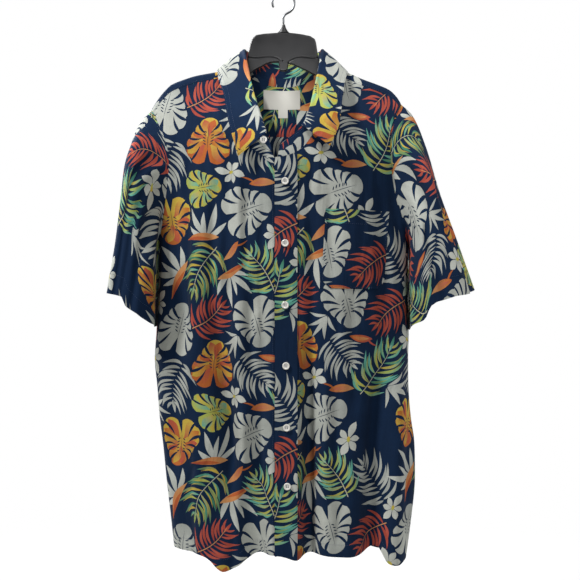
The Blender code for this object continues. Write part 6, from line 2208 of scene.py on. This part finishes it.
# %% [markdown]
# ## The hanger
# The hanger is one moulded bar with a broad plate under the collar, a small boss and a wire
# hook. The face of the bar is cut flat like the cloth, then pushed out by a profile of the
# distance from its edge, which rounds the edge. A groove and a shallow channel are pressed
# in the same way, as a mould would make them.

# %% Moulded plastic and plated wire
def hard_finish(name, colour, rough, metal, scale, depth):
    """Principled finish whose roughness varies a little, with a fine bump."""
    mat, tree, shader = new_finish(name, {"Metallic": metal})
    coords = add_node(tree, "ShaderNodeTexCoord")
    worn = add_node(tree, "ShaderNodeTexNoise", {},
                    {"Vector": coords.outputs["Object"], "Scale": 60.0, "Detail": 4.0})
    gloss = add_node(tree, "ShaderNodeMapRange", {},
                     {"Value": worn.outputs["Fac"], "From Min": 0.3, "From Max": 0.7,
                      "To Min": rough - 0.07, "To Max": rough + 0.09})
    tree.links.new(gloss.outputs["Result"], shader.inputs["Roughness"])
    tone = add_node(tree, "ShaderNodeMix", {"data_type": "RGBA"},
                    {0: worn.outputs["Fac"], 6: solid(colour[0]), 7: solid(colour[1])})
    tree.links.new(tone.outputs[2], shader.inputs["Base Color"])
    grain = add_node(tree, "ShaderNodeTexNoise", {},
                     {"Vector": coords.outputs["Object"], "Scale": scale, "Detail": 2.0})
    bump = add_node(tree, "ShaderNodeBump", {},
                    {"Height": grain.outputs["Fac"], "Strength": 0.5, "Distance": depth})
    tree.links.new(bump.outputs["Normal"], shader.inputs["Normal"])
    return mat


black_plastic = hard_finish("black moulded polystyrene", ("#18181a", "#232325"), 0.44, 0.0,
                            1600.0, 0.00006)
plated_wire = hard_finish("zinc plated steel wire", ("#6f7174", "#86888b"), 0.36, 1.0,
                          2400.0, 0.00002)
print("hanger finishes made")

# %% Tables of the bar, its plate and the hook
# hanger bar: x, top z, bottom z, half thickness
HANGER = (
    (-184, -166.5, -178, 3.6), (-180, -159, -178.5, 4.6),
    (-168, -152, -173, 5), (-150, -145, -166, 5),
    (-120, -140.5, -161, 5), (-90, -135, -153, 5),
    (-68, -128.5, -144, 5), (-59.5, -125, -139, 5),
    (-58, -110, -136.5, 5), (-55.5, -94, -133, 5),
    (-52, -79, -129, 4.8), (-46.5, -70.5, -124.5, 4.6),
    (-36, -67, -119, 4.6), (-22, -65.5, -112.5, 4.6),
    (-8, -64.6, -111.5, 4.6), (-6.2, -64.5, -124.5, 4.6),
    (0, -64.3, -126, 4.6), (6.2, -64.5, -124.5, 4.6), (8, -64.6, -113.5, 4.6),
    (22, -66, -118.5, 4.6), (36, -68.5, -125, 4.6),
    (46, -72, -130, 4.6), (52, -80, -133, 4.8),
    (54.5, -96, -135, 5), (57, -110, -136.5, 5),
    (59, -125, -139, 5), (68, -128.5, -144, 5),
    (90, -136.5, -155, 5), (120, -147.5, -168, 5),
    (150, -158.5, -179, 5), (165, -167, -184, 5),
    (174, -174, -186, 4.6), (178, -178.5, -185.5, 3.6),
)
HOOK_R = 1.7                      # radius of the hook's wire
HOOK_TURN = 17.7                  # radius of the crook's middle line
HOOK_PATH = ((0, -50), (0, -44), (0.3, -38.5), (3.2, -34.6), (8.4, -32.4))
GROOVES = (((-57.4, -103.6), (-50, -105.4), (-40, -105.6), (-28, -104.2),
            (-16, -104.6), (-9.5, -106.6), (-6, -109.6)),
           ((56.6, -104.6), (49, -106), (40, -105.6), (29, -104.4),
            (18, -106.6), (11, -110.2), (7, -113.4)))
DIMPLE = (-1.6, -110.4)           # the small hole in the tab


print("hanger tables of", len(HANGER), "rows")


# %% The bar's flat cut
BAR = np.array(HANGER)
bar_top, bar_foot, bar_half = (spline(BAR[:, 0], BAR[:, k]) for k in (1, 2, 3))


def left_of(ahead):
    """Flat directions a quarter turn to the left."""
    return np.column_stack([-ahead[:, 1], ahead[:, 0]])


def bar_outline():
    """Closed outline of the bar's face."""
    xs = np.unique(np.r_[BAR[:, 0], np.arange(-184.0, 178.0, 3.0), np.arange(-60, 60, 1.6)])
    xs = xs[np.r_[True, np.diff(xs) > 0.4]]
    foot, top = np.column_stack([xs, bar_foot(xs)]), np.column_stack([xs, bar_top(xs)])
    return dense(np.vstack([foot, top[::-1]]), 2.4)


def edge_rows(outline):
    """Rows of points just inside the outline, which take up the rounded edge."""
    inward = left_of(unit(np.roll(outline, -1, axis=0) - np.roll(outline, 1, axis=0)))
    rows = []
    for deep in (0.35, 0.9, 1.8):
        row = outline + inward * deep
        rows.append(row[~near_edge(outline, row, deep * 0.93)])
    return rows


def groove_rows(line):
    """Rows of points along a groove."""
    across = left_of(unit(np.gradient(line, axis=0)))
    return [line + across * shift for shift in (-1.3, -0.7, 0.0, 0.7, 1.3)]


print("bar outline has", len(bar_outline()), "points")


# %% Points and triangles of the bar's face
def loose_grid(outline, grooves):
    """Grid of points clear of the outline, the grooves and the dimple."""
    xs = np.arange(-184.0, 178.0, 2.6)
    grid = np.vstack([np.column_stack([xs + 1.3 * (k % 2), np.full(len(xs), z)])
                      for k, z in enumerate(np.arange(-187.0, -64.0, 2.3))])
    grid = grid[inside(outline, grid)]
    grid = grid[~near_edge(outline, grid, 2.7)]
    for line in grooves:
        grid = grid[distance(line, grid) > 1.9]
    return grid[np.hypot(*(grid - DIMPLE).T) > 2.4]


def bar_cut():
    """Outline, grooves, flat points and triangles of the bar's face."""
    outline = bar_outline()
    count = len(outline)
    grooves = [curve(g, step=1.2) for g in GROOVES]
    pts = [outline] + edge_rows(outline)
    for line in grooves:
        pts += groove_rows(line)
    a = circle(14)
    pts += [np.column_stack([DIMPLE[0] + r * np.cos(a), DIMPLE[1] + r * np.sin(a)])
            for r in (0.01, 0.9, 1.35, 1.8)]
    verts = np.vstack(pts + [loose_grid(outline, grooves)])
    verts[count:] = verts[count:].round(3)
    keep = inside(outline, verts) | (np.arange(len(verts)) < count)
    _, co, tris = triangulate(verts[keep].tolist(), loop_edges(count), [], 0.05)
    return outline, grooves, co, tris[inside(outline, co[tris].mean(axis=1))]


outline, grooves, flat, tris = bar_cut()
print("bar cut from", len(flat), "points")

# %% The bar's rounded faces
EDGE = 1.9                        # the edge is rounded this far in
x, z = flat.T
half, top, bot = bar_half(x), bar_top(x), bar_foot(x)
gap = np.minimum(distance(outline, flat, closed=True) / EDGE, 1.0)
face = half - EDGE + EDGE * np.sqrt(np.clip(1 - (1 - gap) ** 2, 0, 1))
# a channel along each arm, on both faces
along = (np.clip((np.abs(x) - 64.0) / 5.0, 0, 1)
         * np.clip((166.0 - np.abs(x)) / 6.0, 0, 1))
across = np.abs(z - 0.5 * (top + bot)) / np.maximum(0.5 * (top - bot), 1.0)
rear = face - 1.6 * ease(along) * ease((0.62 - across) / 0.16)
front = rear
for line in grooves:
    front = front - 0.9 * np.exp(-(distance(line, flat) / 0.75) ** 2)
    below = np.interp(x, *line[np.argsort(line[:, 0])].T)
    under = (np.sign(line[0, 0]) * x > 6.0) & (z < below - 1.0) & (np.abs(x) < 58.0)
    front = front + np.where(under, 0.25, 0.0)
front = front - 1.3 * np.exp(-(np.hypot(*(flat - DIMPLE).T) / 1.3) ** 4)
front = np.minimum(front, half)
verts = np.vstack([np.column_stack([x, -front, z]), np.column_stack([x, rear, z])])
tris = np.where((doubled_areas(flat, tris) < 0)[:, None], tris[:, ::-1], tris)
faces, rim, _ = shell_faces(tris, len(flat))
stands_for(plain_mesh("moulded_hanger", verts, faces, black_plastic), "hanger_body")
print("hanger bar:", 2 * len(tris) + 2 * len(rim), "triangles")


# %% Boss
def tube(rings):
    """Faces of a closed body made of rings of points."""
    per = len(rings[0])
    faces = []
    for r in range(len(rings) - 1):
        for k in range(per):
            a, b = r * per + k, r * per + (k + 1) % per
            faces.append((a, b, b + per, a + per))
    faces.append(tuple(range(per))[::-1])
    faces.append(tuple(range((len(rings) - 1) * per, len(rings) * per)))
    return np.vstack(rings), faces


def outward(obj):
    """Turn the faces of a closed body outwards."""
    pts = np.array([v.co for v in obj.data.vertices])
    volume = 0.0
    for poly in obj.data.polygons:
        ring = pts[list(poly.vertices)]
        for k in range(1, len(ring) - 1):
            volume += np.dot(ring[0], np.cross(ring[k], ring[k + 1]))
    if volume < 0:
        obj.data.flip_normals()


level = np.array((-64.0, -62.0, -59.0, -56.0, -53.0, -50.8))
wide = spline(level, (9.6, 7.4, 5.3, 3.9, 3.0, 2.5))
turn = circle(40)
rings = []
for z in np.r_[np.linspace(-64.0, -51.2, 22), -50.95, -50.8]:
    rx = float(wide(z)) - (0.35 if z > -50.85 else 0.12 if z > -51.0 else 0.0)
    ry = min(rx, 4.6 * (0.6 + 0.4 * rx / 9.6))
    rings.append(np.column_stack([rx * np.cos(turn), ry * np.sin(turn), np.full(40, z)]))
piece = plain_mesh("moulded_boss", *tube(rings), black_plastic)
outward(piece)
stands_for(piece, "hanger_boss")


# %% Hook
WIRE_STEP = 1.1                   # mm between the rings of the wire


def hook_line():
    """Middle line of the wire: up the stem and round the crook."""
    arc = []
    for deg in np.linspace(-58.0, 205.0, 40):
        a = math.radians(deg)
        arc.append((HOOK_TURN * math.cos(a), HOOK_R - HOOK_TURN + HOOK_TURN * math.sin(a)))
    return curve(np.array([*HOOK_PATH[:-1], *arc]), count=32)


line = curve(hook_line(), step=WIRE_STEP)
ahead = unit(np.gradient(line, axis=0))
turn = circle(20)
rings = []
for k, ((x, z), (tx, tz)) in enumerate(zip(line, ahead)):
    from_end = min(k, len(line) - 1 - k) * WIRE_STEP
    r = HOOK_R * math.sqrt(max(1 - max(1 - (from_end + 0.1) / 1.2, 0) ** 2, 0.02))
    out = np.array((-tz, 0.0, tx))
    rings.append(np.array((x, 0.0, z)) + r * (np.cos(turn)[:, None] * out
                 + np.sin(turn)[:, None] * np.array((0.0, 1.0, 0.0))))
piece = plain_mesh("hook_wire", *tube(rings), plated_wire)
outward(piece)
stands_for(piece, "hanger_hook")
print("hook wire has", len(rings), "rings")

# %% [markdown]
# ## Floor, light and background
# A garment is shown best in soft light. A near lamp stands to the left and above, so that
# the folds get a light and a dark side and the light falls off towards the hem. A narrow
# one looks into the neck, two weak ones fill from the right and the side, and a stronger
# one stands behind for the back. The backdrop looks white to the camera but lights the
# cloth with about an eighth of that, so that the folds keep their shade. The floor is a
# disc that grows clear towards its edge, so no horizon line crosses the picture.

# %% Colour handling
scene = bpy.context.scene
scene.view_settings.view_transform = "Standard"
scene.view_settings.look = "None"
print("view transform:", scene.view_settings.view_transform)

# %% World
world = bpy.data.worlds.new("studio air")
scene.world = world
world.use_nodes = True
air = world.node_tree.nodes["Background"]
air.inputs["Color"].default_value = (1.0, 1.0, 1.0, 1.0)
seen = add_node(world.node_tree, "ShaderNodeLightPath")
level = add_node(world.node_tree, "ShaderNodeMapRange", {},
                 {"Value": seen.outputs["Is Camera Ray"], "To Min": 0.13, "To Max": 1.0})
world.node_tree.links.new(level.outputs["Result"], air.inputs["Strength"])
print("world gives", level.inputs["To Min"].default_value)


# %% Lamps
def aimed_lamp(name, kind, place, aim, power, **settings):
    """Lamp at place, turned to look at aim."""
    data = bpy.data.lights.new(name, kind)
    data.energy = power
    for key, value in settings.items():
        setattr(data, key, value)
    lamp = placed(name, data)
    lamp.location = place
    way = Vector(aim) - Vector(place)
    lamp.rotation_euler = way.to_track_quat("-Z", "Y").to_euler()


for name, place, aim, size, power in (
        ("key lamp", (-1.45, -0.95, 1.65), (0.05, 0.0, -0.36), 0.45, 84.0),
        ("fill lamp", (0.9, -2.0, 0.9), (0.15, 0.0, -0.22), 0.8, 20.0),
        ("back lamp", (-1.75, 1.15, 1.0), (0.0, 0.0, -0.45), 0.5, 74.0),
        ("side lamp", (2.2, 0.3, 0.4), (0.0, 0.0, -0.45), 1.0, 24.0)):
    aimed_lamp(name, "AREA", place, aim, power, shape="SQUARE", size=size)
aimed_lamp("neck lamp", "SPOT", (-0.30, -1.8, -0.32), (0.003, 0.0, -0.178), 130.0,
           spot_size=math.radians(4.8), spot_blend=0.7, shadow_soft_size=0.06)
print("five lamps placed")

# %% Floor
FLOOR_Z = -1.08
FLOOR_R = 2.2
floor_mesh = bpy.data.meshes.new("floor")
rim = [(FLOOR_R * math.cos(a), FLOOR_R * math.sin(a), FLOOR_Z) for a in circle(64)]
floor_mesh.from_pydata(rim, [], [tuple(range(64))])
placed("floor", floor_mesh)
paint, nodes, shade = new_finish("pale matt floor paint", {
    "Base Color": (0.93, 0.93, 0.92, 1.0), "Roughness": 0.9})
where = add_node(nodes, "ShaderNodeTexCoord")
reach = add_node(nodes, "ShaderNodeVectorMath", {"operation": "LENGTH"},
                 {"Vector": where.outputs["Object"]})
fade = add_node(nodes, "ShaderNodeMapRange", {"interpolation_type": "SMOOTHSTEP"},
                {"Value": reach.outputs["Value"], "From Min": 0.5, "From Max": 1.6,
                 "To Min": 1.0, "To Max": 0.0})
nodes.links.new(fade.outputs["Result"], shade.inputs["Alpha"])
floor_mesh.materials.append(paint)
print("floor at", FLOOR_Z, "m")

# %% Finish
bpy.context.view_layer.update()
